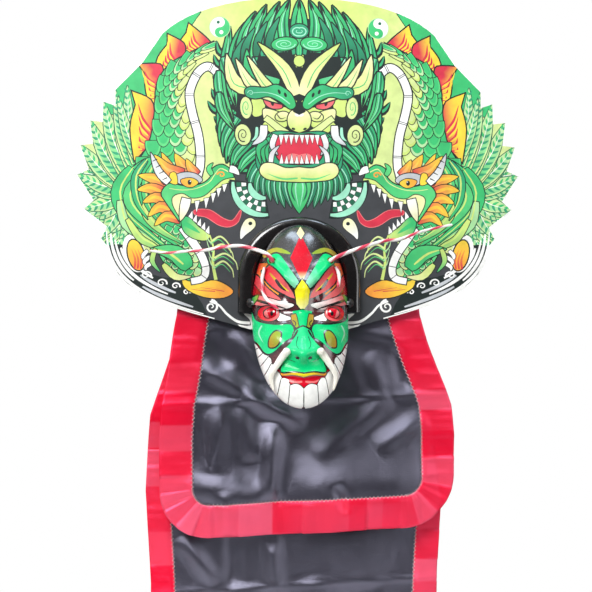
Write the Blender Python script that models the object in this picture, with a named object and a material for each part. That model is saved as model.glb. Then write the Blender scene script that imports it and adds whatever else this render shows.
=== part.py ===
"""Snapping-jaw dance dragon: a carved head on a printed crest panel, with a bordered cloth body.

The frame is in metres with +Z up, and the head faces -Y. Left pieces are at -X.
Heights and depths below are stated from a datum on the panel: Z = 0 just above its lower edge,
Y = 0 within the board. The finished object then moves as one, so that its origin is the middle
of the upper batten's back face, where it hangs on a wall.
"""

import math

import bmesh
import bpy
from mathutils import Vector

MM = 0.001

# Layers along Y, from the printed face at the front to the rear cloth.
GAP = 0.3 * MM
SHEET_FRONT, SHEET_BACK = -4.0 * MM, -2.8 * MM
BOARD_FRONT, BOARD_BACK = -2.5 * MM, 1.5 * MM
SPINE_FRONT, SPINE_BACK = 1.8 * MM, 9.8 * MM
CLOTH_THICK = 1.6 * MM
FRONT_CLOTH_Y = 10.1 * MM
RAIL_FRONT, RAIL_BACK = 12.0 * MM, 22.0 * MM
REAR_CLOTH_Y = 22.3 * MM

# Crest panel outline, right half.
CROWN_TOP = 394 * MM
SHOULDER = (178 * MM, 345 * MM)
SHOULDER_FOOT = (204 * MM, 307 * MM)
FRINGE_CENTRE = (150 * MM, 166 * MM)
FRINGE_RADIUS = 138 * MM
FRINGE_TIP_DEG = (50, 41, 28.5, 14, -2, -21, -39)
FRINGE_NOTCH = 15 * MM
FRINGE_NOTCH_TURN_DEG = 3
HIP = (247 * MM, 66 * MM)
PANEL_FOOT = (110 * MM, -25 * MM)
PANEL_BOTTOM = (54 * MM, -41 * MM)

# Battens behind the panel.
SPINE_HALF_WIDTH, SPINE_LOW, SPINE_HIGH = 14 * MM, 84 * MM, 352 * MM
RAIL_HALF_LENGTH, RAIL_LOW, RAIL_HIGH = 160 * MM, 0.0, 26 * MM
BATTEN_HALF_LENGTH, BATTEN_LOW, BATTEN_HIGH = 185 * MM, 236 * MM, 262 * MM
BATTEN_FRONT, BATTEN_BACK = 10.1 * MM, 24.4 * MM
BATTEN_SCREW_X, COUNTERBORE = 9 * MM, 2.6 * MM
HAND_HOLE_RADIUS, HAND_HOLE_LOW = 44 * MM, 33 * MM
SPACER_X, SPACER_HALF_WIDTH = 138 * MM, 13 * MM
SCREW_RADIUS, SCREW_HEAD_RADIUS, SCREW_HEAD = 1.7 * MM, 3.6 * MM, 1.8 * MM

# Arch-shaped collar between the panel and the head.
COLLAR_OUTER, COLLAR_INNER = 80 * MM, 54 * MM
COLLAR_CENTRE_Z, COLLAR_FOOT = 28 * MM, -16 * MM
COLLAR_BACK, COLLAR_FRONT = SHEET_FRONT - GAP, -16.3 * MM

# Carved head: a half egg whose back edge is flat behind the brow and slopes forward along the mouth.
HEAD_TOP, HEAD_BOTTOM = 97 * MM, -134 * MM
HEAD_HALF_WIDTH = 62 * MM
HEAD_ROUNDNESS = 2.1
HEAD_WALL = 7 * MM
HEAD_DEPTHS = ((97, 40), (60, 47), (25, 59), (-40, 55), (-90, 50), (-134, 38))
RIM_Y = COLLAR_FRONT - GAP
MOUTH_CORNER_Z = -15 * MM
MOUTH_TIP_Y = -97 * MM
EYE_PLACE = (38 * MM, -17 * MM)
SOCKET_PLACE = (37 * MM, 50 * MM)
PEG_RADIUS = 1.9 * MM

# Lower jaw and its hinge, a rod along X.
HINGE_Y, HINGE_Z = -27 * MM, -4 * MM
ROD_RADIUS, ROD_BORE = 2.5 * MM, 2.8 * MM
JAW_TOP, JAW_BOTTOM = -24 * MM, -131 * MM
JAW_DEPTH, JAW_WALL, JAW_CLEARANCE = 16 * MM, 5 * MM, 1.2 * MM
JAW_MIDDLE, JAW_ROUNDING = -92 * MM, 66 * MM
JAW_SIDE_GAP = 0.8 * MM
EAR_INNER_X, EAR_OUTER_X, EAR_RADIUS = 42 * MM, 48 * MM, 8 * MM
EAR_FOOT = ((-34 * MM, -34 * MM), (-24.5 * MM, -42 * MM), (-18.5 * MM, -34 * MM))
ROD_HALF_LENGTH, CAP_FOOT_X = 65.5 * MM, 62.6 * MM
CAP_PROFILE = ((0, 6 * MM), (2.5 * MM, 6 * MM), (4.8 * MM, 4.4 * MM), (6 * MM, 2 * MM))

# Cloth body: half widths at heights, then the fold lines between its hinged stretches.
FRONT_OUTER = ((26, 154), (-20, 159), (-58, 168), (-96, 178), (-138, 190), (-180, 193), (-304, 192))
REAR_OUTER = ((26, 148), (-60, 163), (-150, 190), (-250, 195), (-370, 188), (-598, 186))
FRONT_BORDER, REAR_BORDER = 43 * MM, 31 * MM
FRONT_FOLD_Z, FRONT_BOTTOM = -130 * MM, -304 * MM
REAR_TOP_Z, REAR_FOLD_Z, REAR_BOTTOM = -2 * MM, -370 * MM, -598 * MM
FOLD_GAP = 1.5 * MM
CORNER_RADIUS = 65 * MM


def clear_scene():
    for obj in list(bpy.data.objects):
        bpy.data.objects.remove(obj, do_unlink=True)


def make_material(name, colour, roughness, metallic=0.0):
    made = bpy.data.materials.new(name)
    made.use_nodes = True
    shader = made.node_tree.nodes["Principled BSDF"]
    shader.inputs["Base Color"].default_value = (*colour, 1.0)
    shader.inputs["Roughness"].default_value = roughness
    shader.inputs["Metallic"].default_value = metallic
    made.diffuse_color = (*colour, 1.0)
    return made


def add_object(name, mesh_data, finish, smooth_angle=35):
    """An object from a bmesh, with one material, shaded smooth below the given angle."""
    bmesh.ops.recalc_face_normals(mesh_data, faces=mesh_data.faces)
    mesh = bpy.data.meshes.new(name)
    mesh_data.to_mesh(mesh)
    mesh_data.free()
    mesh.materials.append(finish)
    mesh.shade_smooth()
    mesh.set_sharp_from_angle(angle=math.radians(smooth_angle))
    obj = bpy.data.objects.new(name, mesh)
    bpy.context.scene.collection.objects.link(obj)
    return obj


def own_finish(name, colour, roughness, metallic=0.0):
    return make_material(name + "_finish", colour, roughness, metallic)


def hang_on(parent, *children):
    for child in children:
        child.parent = parent
        child.matrix_parent_inverse = parent.matrix_world.inverted()


def add_axis(name, place):
    """An empty that stands on a joint's axis and carries the moving pieces."""
    axis = bpy.data.objects.new(name, None)
    axis.location = place
    axis.empty_display_size = 20 * MM
    bpy.context.scene.collection.objects.link(axis)
    bpy.context.view_layer.update()
    return axis


# Outlines and profiles


def table_value(table, z):
    """Linear value, in metres, from (height, value) pairs in millimetres that run downwards."""
    height = z / MM
    if height >= table[0][0]:
        return table[0][1] * MM
    for (high, first), (low, last) in zip(table, table[1:]):
        if height >= low:
            share = (high - height) / (high - low)
            return (first + share * (last - first)) * MM
    return table[-1][1] * MM


def bezier(points, steps):
    """Points along a cubic from its four control points, without the last one."""
    a, b, c, d = (Vector(p) for p in points)
    found = []
    for i in range(steps):
        t = i / steps
        s = 1 - t
        found.append(a * s**3 + b * 3 * s * s * t + c * 3 * s * t * t + d * t**3)
    return [(p.x, p.y) for p in found]


def mirrored(half):
    """A closed outline from its right half, which runs from the top to the bottom of the middle line."""
    left = [(-x, z) for x, z in reversed(half) if x > 1e-6]
    return half + left


def fringe():
    """The saw-toothed feather tips on the panel's right edge, each followed by its notch."""
    cx, cz = FRINGE_CENTRE
    points = []
    for i, degrees in enumerate(FRINGE_TIP_DEG):
        tip = math.radians(degrees)
        points.append((cx + FRINGE_RADIUS * math.cos(tip), cz + FRINGE_RADIUS * math.sin(tip)))
        if i + 1 < len(FRINGE_TIP_DEG):
            turn = math.radians(FRINGE_TIP_DEG[i + 1] + FRINGE_NOTCH_TURN_DEG)
            reach = FRINGE_RADIUS - FRINGE_NOTCH
            points.append((cx + reach * math.cos(turn), cz + reach * math.sin(turn)))
    return points


def panel_outline(inset=0.0):
    """The crest's outline; inset pulls it in towards the middle of the panel."""
    crown = ((0, CROWN_TOP), (95 * MM, CROWN_TOP), (150 * MM, 372 * MM), SHOULDER)
    hip = (HIP, (243 * MM, 14 * MM), (190 * MM, -4 * MM), PANEL_FOOT)
    half = bezier(crown, 10) + [SHOULDER, SHOULDER_FOOT] + fringe() + bezier(hip, 8)
    half += [PANEL_FOOT, PANEL_BOTTOM, (0, PANEL_BOTTOM[1])]
    middle = Vector((0, 180 * MM))
    moved = []
    for point in half:
        away = Vector(point) - middle
        shrunk = middle + away * (1 - inset / away.length)
        moved.append((max(shrunk.x, 0.0), shrunk.y))
    return mirrored(moved)


def arc(centre, radius, start_deg, end_deg, steps):
    turns = [math.radians(start_deg + (end_deg - start_deg) * i / steps) for i in range(steps + 1)]
    return [(centre[0] + radius * math.cos(t), centre[1] + radius * math.sin(t)) for t in turns]


# Solids


def plate(name, outline, front, back, finish):
    """A flat prism with its outline in XZ, from front to back along Y."""
    solid = bmesh.new()
    loops = [[solid.verts.new((x, y, z)) for x, z in outline] for y in (front, back)]
    solid.faces.new(loops[0])
    solid.faces.new(list(reversed(loops[1])))
    count = len(outline)
    for i in range(count):
        j = (i + 1) % count
        solid.faces.new((loops[0][i], loops[1][i], loops[1][j], loops[0][j]))
    return add_object(name, solid, finish)


def block(name, low, high, finish, bevel=0.0):
    """A box between two corners, with small rounded edges."""
    outline = [(low[0], low[2]), (high[0], low[2]), (high[0], high[2]), (low[0], high[2])]
    obj = plate(name, outline, low[1], high[1], finish)
    if bevel:
        add_bevel(obj, bevel)
    return obj


def add_bevel(obj, width, segments=1):
    modifier = obj.modifiers.new("rounded_edges", "BEVEL")
    modifier.width = width
    modifier.segments = segments
    modifier.limit_method = "ANGLE"


def turned(name, place, direction, profile, finish, sides=20):
    """A solid of revolution: profile holds (distance along the axis, radius) from end to end."""
    place, direction = Vector(place), Vector(direction).normalized()
    across = direction.orthogonal().normalized()
    other = direction.cross(across)
    solid = bmesh.new()
    rings = []
    for along, radius in profile:
        ring = []
        for i in range(sides):
            turn = 2 * math.pi * i / sides
            spoke = across * math.cos(turn) + other * math.sin(turn)
            ring.append(solid.verts.new(place + direction * along + spoke * radius))
        rings.append(ring)
    join_rings(solid, rings)
    return add_object(name, solid, finish)


def join_rings(solid, rings):
    """Quads between consecutive rings, and a flat cap on each end."""
    for first, second in zip(rings, rings[1:]):
        count = len(first)
        for i in range(count):
            j = (i + 1) % count
            solid.faces.new((first[i], first[j], second[j], second[i]))
    solid.faces.new(list(reversed(rings[0])))
    solid.faces.new(rings[-1])


def tube(name, path, radii, finish, sides=8):
    """A round bar along a path of points, with one radius for each point."""
    path = [Vector(p) for p in path]
    solid = bmesh.new()
    rings = []
    across = None
    for i, point in enumerate(path):
        ahead = path[min(i + 1, len(path) - 1)] - path[max(i - 1, 0)]
        ahead.normalize()
        across = ahead.orthogonal() if across is None else across - ahead * across.dot(ahead)
        across.normalize()
        other = ahead.cross(across)
        ring = []
        for k in range(sides):
            turn = 2 * math.pi * k / sides
            spoke = across * math.cos(turn) + other * math.sin(turn)
            ring.append(solid.verts.new(point + spoke * radii[i]))
        rings.append(ring)
    join_rings(solid, rings)
    return add_object(name, solid, finish, smooth_angle=60)


def shell(name, outer, inner, finish):
    """One closed wall from two grids of points with the same rows and columns."""
    solid = bmesh.new()
    grids = [[[solid.verts.new(p) for p in row] for row in grid] for grid in (outer, inner)]
    for grid in grids:
        for upper, lower in zip(grid, grid[1:]):
            for i in range(len(upper) - 1):
                solid.faces.new((upper[i], upper[i + 1], lower[i + 1], lower[i]))
    for first, second in zip(grid_edge(grids[0]), grid_edge(grids[1])):
        solid.faces.new((first[0], first[1], second[1], second[0]))
    return add_object(name, solid, finish, smooth_angle=50)


def grid_edge(grid):
    """Pairs of neighbouring vertices once round a grid."""
    ring = list(grid[0]) + [row[-1] for row in grid[1:]]
    ring += list(reversed(grid[-1][:-1])) + [row[0] for row in reversed(grid[1:-1])]
    return list(zip(ring, ring[1:] + ring[:1]))


def boolean(target, tool, operation):
    """Cuts or joins with a helper that stays out of the model."""
    tool.hide_render = True
    tool.display_type = "WIRE"
    modifier = target.modifiers.new(tool.name, "BOOLEAN")
    modifier.operation = operation
    modifier.object = tool
    modifier.solver = "EXACT"


def drill(name, targets, start, end, radius, sides=16):
    """One round hole from start to end through every target."""
    way = Vector(end) - Vector(start)
    profile = ((0, radius), (way.length, radius))
    tool = turned(name + "_cutter", start, way, profile, own_finish(name, (1, 1, 1), 0.5), sides)
    for target in targets:
        boolean(target, tool, "DIFFERENCE")


def screw(name, place, direction, length, finish, targets):
    """A pan-head screw whose head sits just off the first target, with its hole in every target."""
    direction = Vector(direction)
    head_start = -SCREW_HEAD - GAP
    profile = (
        (head_start, 0.6 * SCREW_HEAD_RADIUS),
        (head_start + 0.5 * SCREW_HEAD, SCREW_HEAD_RADIUS),
        (-GAP, SCREW_HEAD_RADIUS),
        (-0.9 * GAP, SCREW_RADIUS),
        (0.8 * length, SCREW_RADIUS),
        (length, 0.3 * MM),
    )
    obj = turned(name, place, direction, profile, finish, sides=14)
    start = Vector(place) - direction * 2 * MM
    end = Vector(place) + direction * (length + GAP)
    drill(name, targets, start, end, SCREW_RADIUS + GAP)
    return obj


# Crest panel and its battens


def make_panel():
    sheet = own_finish("crest_face_sheet", (0.36, 0.72, 0.28), 0.45)
    board = own_finish("crest_backing_board", (0.055, 0.05, 0.05), 0.8)
    face = plate("crest_face_sheet", panel_outline(), SHEET_FRONT, SHEET_BACK, sheet)
    backing = plate("crest_backing_board", panel_outline(1.2 * MM), BOARD_FRONT, BOARD_BACK, board)
    arch = arc((0, HAND_HOLE_LOW), HAND_HOLE_RADIUS, 0, 180, 16)
    hole = plate("hand_hole", arch, SHEET_FRONT - 5 * MM, BOARD_BACK + 5 * MM, sheet)
    boolean(face, hole, "DIFFERENCE")
    boolean(backing, hole, "DIFFERENCE")
    return face, backing


def make_battens():
    """Spine, upper batten, cloth rail and the three spacers that pack the rail off the board."""
    wood = (0.5, 0.33, 0.17)
    spine = block(
        "spine_batten",
        (-SPINE_HALF_WIDTH, SPINE_FRONT, SPINE_LOW),
        (SPINE_HALF_WIDTH, SPINE_BACK, SPINE_HIGH),
        own_finish("spine_batten", wood, 0.7),
        1.5 * MM,
    )
    batten = block(
        "upper_cross_batten",
        (-BATTEN_HALF_LENGTH, BATTEN_FRONT, BATTEN_LOW),
        (BATTEN_HALF_LENGTH, BATTEN_BACK, BATTEN_HIGH),
        own_finish("upper_cross_batten", wood, 0.7),
        1.5 * MM,
    )
    rail = block(
        "cloth_rail",
        (-RAIL_HALF_LENGTH, RAIL_FRONT, RAIL_LOW),
        (RAIL_HALF_LENGTH, RAIL_BACK, RAIL_HIGH),
        own_finish("cloth_rail", wood, 0.7),
        1.5 * MM,
    )
    spacers = []
    for side, centre in (("left", -SPACER_X), ("middle", 0.0), ("right", SPACER_X)):
        name = f"{side}_rail_spacer"
        spacers.append(
            block(
                name,
                (centre - SPACER_HALF_WIDTH, SPINE_FRONT, RAIL_LOW),
                (centre + SPACER_HALF_WIDTH, SPINE_BACK, RAIL_HIGH),
                own_finish(name, wood, 0.7),
                1 * MM,
            )
        )
    return spine, batten, rail, spacers


def make_batten_screws(spine, batten, rail, spacers, front_layers):
    """Two screws join batten and spine; three more clamp the front cloth under the rail."""
    steel = (0.6, 0.6, 0.62)
    height = (BATTEN_LOW + BATTEN_HIGH) / 2
    for side, x in (("left", -BATTEN_SCREW_X), ("right", BATTEN_SCREW_X)):
        name = f"{side}_batten_screw"
        mouth, seat = (x, BATTEN_BACK + 1 * MM, height), (x, BATTEN_BACK - COUNTERBORE, height)
        drill(f"{side}_counterbore", [batten], mouth, seat, SCREW_HEAD_RADIUS + 0.6 * MM)
        screw(name, seat, (0, -1, 0), 17 * MM, own_finish(name, steel, 0.35, 1.0), [batten, spine])
    height = (RAIL_LOW + RAIL_HIGH) / 2
    places = (("left", -SPACER_X), ("middle", 0.0), ("right", SPACER_X))
    for (side, x), spacer, layer in zip(places, spacers, front_layers):
        name = f"{side}_rail_screw"
        finish = own_finish(name, steel, 0.35, 1.0)
        screw(name, (x, RAIL_BACK, height), (0, -1, 0), 18 * MM, finish, [rail, layer, spacer])


# Collar


def make_collar():
    """An arch with straight legs; its back lies on the panel's face."""
    centre = (0, COLLAR_CENTRE_Z)
    outer = arc(centre, COLLAR_OUTER, 0, 180, 28)
    inner = arc(centre, COLLAR_INNER, 180, 0, 22)
    outline = [(COLLAR_OUTER, COLLAR_FOOT)] + outer + [(-COLLAR_OUTER, COLLAR_FOOT)]
    outline += [(-COLLAR_INNER, COLLAR_FOOT)] + inner + [(COLLAR_INNER, COLLAR_FOOT)]
    finish = own_finish("head_collar", (0.012, 0.01, 0.01), 0.25)
    collar = plate("head_collar", outline, COLLAR_FRONT, COLLAR_BACK, finish)
    add_bevel(collar, 2.5 * MM, 2)
    return collar


def make_collar_screws(collar, face, backing):
    middle = (COLLAR_OUTER + COLLAR_INNER) / 2
    reach = middle * math.sqrt(0.5)
    places = {"lower": (middle, 4 * MM), "upper": (reach, COLLAR_CENTRE_Z + reach)}
    for level, (x, z) in places.items():
        for side, sign in (("left", -1), ("right", 1)):
            name = f"{level}_{side}_collar_screw"
            finish = own_finish(name, (0.6, 0.6, 0.62), 0.35, 1.0)
            place = (sign * x, BOARD_BACK, z)
            screw(name, place, (0, -1, 0), 14 * MM, finish, [backing, face, collar])


# Carved head


def egg_share(z, inset=0.0):
    """How much of the head's full width and depth is left at a height, from 0 at the ends to 1."""
    middle = (HEAD_TOP + HEAD_BOTTOM) / 2
    half = (HEAD_TOP - HEAD_BOTTOM) / 2 - inset
    t = min(abs(z - middle) / half, 1.0)
    return (1 - t**HEAD_ROUNDNESS) ** (1 / HEAD_ROUNDNESS)


def rim_y(z):
    """The back edge of the head: flat on the collar, then sloping forward along the mouth."""
    if z >= MOUTH_CORNER_Z:
        return RIM_Y
    share = (MOUTH_CORNER_Z - z) / (MOUTH_CORNER_Z - HEAD_BOTTOM)
    return RIM_Y + share * (MOUTH_TIP_Y - RIM_Y)


def mound(x, z, place, radius, height):
    """A soft round swelling about a place on the face."""
    distance = math.hypot(x - place[0], z - place[1]) / radius
    return height * math.exp(-2 * distance**2)


def ridge(x, z, start, end, radius, height):
    """A swelling along the line between two places on the face."""
    a, b, p = Vector(start), Vector(end), Vector((x, z))
    along = max(0.0, min(1.0, (p - a).dot(b - a) / (b - a).length_squared))
    return mound(x, z, a + (b - a) * along, radius, height)


def face_relief(x, z):
    """How far the carving stands out from the plain egg at a place on the face."""
    side = abs(x)
    relief = ridge(side, z, (34 * MM, 46 * MM), (3 * MM, 16 * MM), 10 * MM, 6 * MM)
    relief += mound(side, z, EYE_PLACE, 14 * MM, -3.5 * MM)
    relief += ridge(side, z, (0, 4 * MM), (0, -50 * MM), 12 * MM, 6 * MM)
    relief += mound(side, z, (0, -65 * MM), 17 * MM, 15 * MM)
    relief += mound(side, z, (15 * MM, -60 * MM), 10 * MM, 7 * MM)
    relief += mound(side, z, (32 * MM, -46 * MM), 18 * MM, 6 * MM)
    return relief


def head_point(turn, z, inset=0.0, carved=True):
    """A point of the head's wall. turn runs from -90 degrees at the left rim to 90 at the right."""
    share = egg_share(z, inset)
    width = (HEAD_HALF_WIDTH - inset) * share
    depth = (table_value(HEAD_DEPTHS, z) - inset) * share
    x, y = width * math.sin(turn), rim_y(z) - depth * math.cos(turn)
    if carved:
        lift = face_relief(x, z) * math.cos(turn)
        x += lift * math.sin(turn)
        y -= lift * math.cos(turn)
    return Vector((x, y, z))


def face_point(x, z):
    """The point of the carved surface straight ahead of a place on the face."""
    width = HEAD_HALF_WIDTH * egg_share(z)
    turn = math.asin(max(-1.0, min(1.0, x / width)))
    return Vector((x, head_point(turn, z).y, z))


def head_grid(inset, carved, rows=21, columns=18):
    middle = (HEAD_TOP + HEAD_BOTTOM) / 2
    half = (HEAD_TOP - HEAD_BOTTOM) / 2 - inset
    grid = []
    for i in range(rows + 1):
        z = middle + 0.996 * half * math.cos(math.pi * i / rows)
        turns = [math.radians(-90 + 180 * k / columns) for k in range(columns + 1)]
        grid.append([head_point(turn, z, inset, carved) for turn in turns])
    return grid


def make_head():
    finish = own_finish("head_shell", (0.06, 0.55, 0.2), 0.2)
    return shell("head_shell", head_grid(0.0, True), head_grid(HEAD_WALL, False), finish)


def ellipsoid(name, place, radii, finish):
    solid = bmesh.new()
    bmesh.ops.create_uvsphere(solid, u_segments=16, v_segments=10, radius=1.0)
    for vertex in solid.verts:
        vertex.co = Vector(vertex.co[i] * radii[i] for i in range(3)) + Vector(place)
    return add_object(name, solid, finish, smooth_angle=80)


def make_eyes(head):
    """Domed eyes, each seated in its own socket in the head's wall."""
    for side, sign in (("left", -1), ("right", 1)):
        place = face_point(sign * EYE_PLACE[0], EYE_PLACE[1]) + Vector((0, 1.0 * MM, 0))
        radii = (11 * MM, 6 * MM, 8 * MM)
        ellipsoid(f"{side}_eye", place, radii, own_finish(f"{side}_eye", (0.8, 0.05, 0.09), 0.1))
        seat = tuple(r + 0.6 * MM for r in radii)
        tool = ellipsoid(f"{side}_eye_seat", place, seat, own_finish(f"{side}_seat", (1, 1, 1), 0.5))
        boolean(head, tool, "DIFFERENCE")


def surface_run(places, lift, steps):
    """A smooth path of points held a fixed lift off the carved surface."""
    found = []
    count = len(places) - 1
    for i in range(steps + 1):
        whole = min(int(i * count / steps), count - 1)
        t = i * count / steps - whole
        around = [Vector(places[max(0, min(count, whole + k))]) for k in (-1, 0, 1, 2)]
        x, z = catmull_rom(around, t)
        base = face_point(x, z)
        out = Vector((x / HEAD_HALF_WIDTH, -1.0, 0)).normalized()
        found.append(base + out * lift)
    return found


def catmull_rom(around, t):
    a, b, c, d = around
    point = 2 * b + (c - a) * t + (2 * a - 5 * b + 4 * c - d) * t * t
    return 0.5 * (point + (3 * b - a - 3 * c + d) * t**3)


def make_tusks():
    """Curved tusks that start beside the nose and sweep round the mouth."""
    places = ((17, -60), (28, -76), (37, -94), (34, -112))
    steps = 9
    for side, sign in (("left", -1), ("right", 1)):
        run = surface_run([(sign * x * MM, z * MM) for x, z in places], 6.5 * MM, steps)
        radii = [4.6 * MM * (1 - i / (steps + 0.6)) ** 0.6 for i in range(steps + 1)]
        tube(f"{side}_tusk", run, radii, own_finish(f"{side}_tusk", (0.9, 0.9, 0.86), 0.25), 10)


# Whiskers


def make_whisker(side, sign, places, head):
    """A striped wire on a peg that turns in a brass socket in the brow."""
    x, z = sign * SOCKET_PLACE[0], SOCKET_PLACE[1]
    surface = face_point(x, z)
    mouth = surface.y - 5 * MM
    socket = turned(
        f"{side}_whisker_socket",
        (x, mouth, z),
        (0, 1, 0),
        ((0, 4.2 * MM), (12 * MM, 4.2 * MM)),
        own_finish(f"{side}_socket", (0.75, 0.55, 0.2), 0.3, 1.0),
    )
    drill(f"{side}_socket_bore", [socket], (x, mouth - 2 * MM, z), (x, mouth + 16 * MM, z), 2.4 * MM)
    drill(f"{side}_socket_seat", [head], (x, mouth - 1 * MM, z), (x, mouth + 12.5 * MM, z), 4.6 * MM)
    path = [Vector((x, mouth + 8 * MM, z)), Vector((x, mouth, z)), Vector((x, mouth - 5 * MM, z))]
    path += [Vector((sign * px * MM, py * MM, pz * MM)) for px, py, pz in places]
    smooth = []
    last = len(path) - 1
    for i in range(last):
        around = [path[max(0, min(last, i + k))] for k in (-1, 0, 1, 2)]
        pieces = 1 if i < 2 else 2
        smooth += [catmull_rom(around, k / pieces) for k in range(pieces)]
    smooth.append(path[-1])
    finish = own_finish(f"{side}_whisker", (0.9, 0.85, 0.82), 0.3)
    taper = [(3.0 - 1.4 * i / (len(smooth) - 4)) * MM for i in range(len(smooth) - 3)]
    radii = [PEG_RADIUS, PEG_RADIUS] + taper + [0.9 * MM]
    wire = tube(f"{side}_whisker", smooth, radii, finish, sides=7)
    axis = add_axis(f"{side}_whisker_axis", (x, mouth, z))
    hang_on(axis, wire)


def make_whiskers(head):
    left = ((46, -60, 59), (75, -51, 68), (99, -46, 67), (122, -41, 63), (144, -37, 62), (170, -33, 60))
    right = ((46, -60, 55), (69, -53, 64), (105, -45, 75), (124, -41, 77), (142, -38, 83), (160, -34, 89))
    left += ((192, -30, 63),)
    right += ((196, -29, 97),)
    make_whisker("left", -1, left, head)
    make_whisker("right", 1, right, head)


def make_face_curls():
    """Short wires that carry on from the whisker sockets down over the cheeks."""
    runs = {
        "left": (-1, ((44, 41), (48, 22), (43, 2), (28, -12))),
        "right": (1, ((43, 42), (46, 30), (44, 16))),
    }
    for side, (sign, places) in runs.items():
        run = surface_run([(sign * x * MM, z * MM) for x, z in places], 4.2 * MM, 8)
        radii = [2.3 * MM] * 8 + [1.0 * MM]
        tube(f"{side}_face_curl", run, radii, own_finish(f"{side}_curl", (0.9, 0.85, 0.82), 0.3), 7)


# Lower jaw


def jaw_depth(z):
    """How deep the lower jaw's dish is at a height, rounded off towards both ends."""
    share = (z - JAW_MIDDLE) / JAW_ROUNDING
    return JAW_DEPTH * math.sqrt(max(0.0, 1 - share**2))


def jaw_grid(inset, rows=12, columns=12):
    """A shallow dish behind the mouth line; inset gives its inner side."""
    grid = []
    for i in range(rows + 1):
        z = JAW_TOP + (JAW_BOTTOM - JAW_TOP) * math.sin(0.5 * math.pi * i / rows)
        width = HEAD_HALF_WIDTH * egg_share(z) - JAW_SIDE_GAP - inset
        depth = max(0.0, jaw_depth(z) - inset) if inset else max(4 * MM, jaw_depth(z))
        row = []
        for k in range(columns + 1):
            turn = math.radians(-90 + 180 * k / columns)
            y = rim_y(z) + JAW_CLEARANCE + depth * math.cos(turn)
            row.append(Vector((max(width, 2 * MM) * math.sin(turn), y, z)))
        grid.append(row)
    return grid


def make_jaw_ear(sign):
    """A rounded plate, in the YZ plane, from the dish up to the hinge rod."""
    outline = arc((HINGE_Y, HINGE_Z), EAR_RADIUS, 0, 180, 10) + list(EAR_FOOT)
    solid = bmesh.new()
    loops = [[solid.verts.new((sign * x, y, z)) for y, z in outline] for x in (EAR_INNER_X, EAR_OUTER_X)]
    join_rings(solid, loops)
    return add_object("jaw_ear", solid, own_finish("jaw_ear", (1, 1, 1), 0.5))


def make_jaw(head):
    finish = own_finish("lower_jaw", (0.75, 0.06, 0.12), 0.25)
    jaw = shell("lower_jaw", jaw_grid(0.0), jaw_grid(JAW_WALL), finish)
    for sign in (-1, 1):
        boolean(jaw, make_jaw_ear(sign), "UNION")
    finish = own_finish("jaw_hinge_rod", (0.6, 0.6, 0.62), 0.3, 1.0)
    profile = ((0, ROD_RADIUS), (2 * ROD_HALF_LENGTH, ROD_RADIUS))
    turned("jaw_hinge_rod", (-ROD_HALF_LENGTH, HINGE_Y, HINGE_Z), (1, 0, 0), profile, finish, 16)
    bore_start, bore_end = (-70 * MM, HINGE_Y, HINGE_Z), (70 * MM, HINGE_Y, HINGE_Z)
    drill("hinge_bore", [head, jaw], bore_start, bore_end, ROD_BORE)
    for side, sign in (("left", -1), ("right", 1)):
        name = f"{side}_hinge_cap"
        finish = own_finish(name, (0.02, 0.02, 0.02), 0.3)
        cap = turned(name, (sign * CAP_FOOT_X, HINGE_Y, HINGE_Z), (sign, 0, 0), CAP_PROFILE, finish)
        start, end = (sign * 60 * MM, HINGE_Y, HINGE_Z), (sign * 66 * MM, HINGE_Y, HINGE_Z)
        drill(name, [cap], start, end, ROD_BORE)
    axis = add_axis("jaw_axis", (0, HINGE_Y, HINGE_Z))
    rooms = (inner_half_width, dish_half_width)
    hang_on(axis, jaw, make_grip("jaw_grip_dowel", (-52 * MM, -70 * MM), 6 * MM, rooms))


def inner_half_width(y, z):
    """Half the clear width inside the head at a depth and height."""
    share = egg_share(z, HEAD_WALL)
    depth = (table_value(HEAD_DEPTHS, z) - HEAD_WALL) * share
    forward = min(max(rim_y(z) - y, 0.0) / depth, 1.0)
    return (HEAD_HALF_WIDTH - HEAD_WALL) * share * math.sqrt(1 - forward**2)


def dish_half_width(y, z):
    """Half the clear width inside the lower jaw's dish at a depth and height."""
    width = HEAD_HALF_WIDTH * egg_share(z) - JAW_SIDE_GAP - JAW_WALL
    depth = jaw_depth(z) - JAW_WALL
    back = min(max(y - rim_y(z) - JAW_CLEARANCE, 0.0) / depth, 1.0)
    return width * math.sqrt(1 - back**2)


def make_grip(name, place, radius, rooms):
    """A turned hand dowel along X with rounded ends, as long as the hollows round it allow."""
    turns = [math.radians(45 * i) for i in range(8)]
    reach = [(place[0] + radius * math.cos(t), place[1] + radius * math.sin(t)) for t in turns]
    half_length = min(room(y, z) for y, z in reach for room in rooms) - 1.2 * MM
    chamfer = 1.5 * MM
    profile = (
        (0, radius - chamfer),
        (chamfer, radius),
        (2 * half_length - chamfer, radius),
        (2 * half_length, radius - chamfer),
    )
    finish = own_finish(name, (0.55, 0.38, 0.2), 0.6)
    return turned(name, (-half_length, *place), (1, 0, 0), profile, finish, 18)


# Cloth body


def cloth_side(table, low, high, inset):
    """Right edge points of a cloth from high to low, at the table's heights and the two ends."""
    between = [h * MM for h, _ in table if low < h * MM < high]
    return [(table_value(table, z) - inset, z) for z in [high] + between + [low]]


def cloth_hem(table, high, bottom, inset):
    """Right half of a cloth's lower end, with its rounded corner, down to the middle line."""
    low = bottom + inset
    radius = CORNER_RADIUS - inset
    points = cloth_side(table, low + radius, high, inset)
    corner = arc((points[-1][0] - radius, low + radius), radius, 0, -90, 8)
    return points + corner[1:] + [(0, low)]


def cloth_stretch(name, table, border, low, high, y, finish):
    right = cloth_side(table, low, high, border + GAP / 2)
    return plate(name, right + [(-x, z) for x, z in reversed(right)], y, y + CLOTH_THICK, finish)


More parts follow.
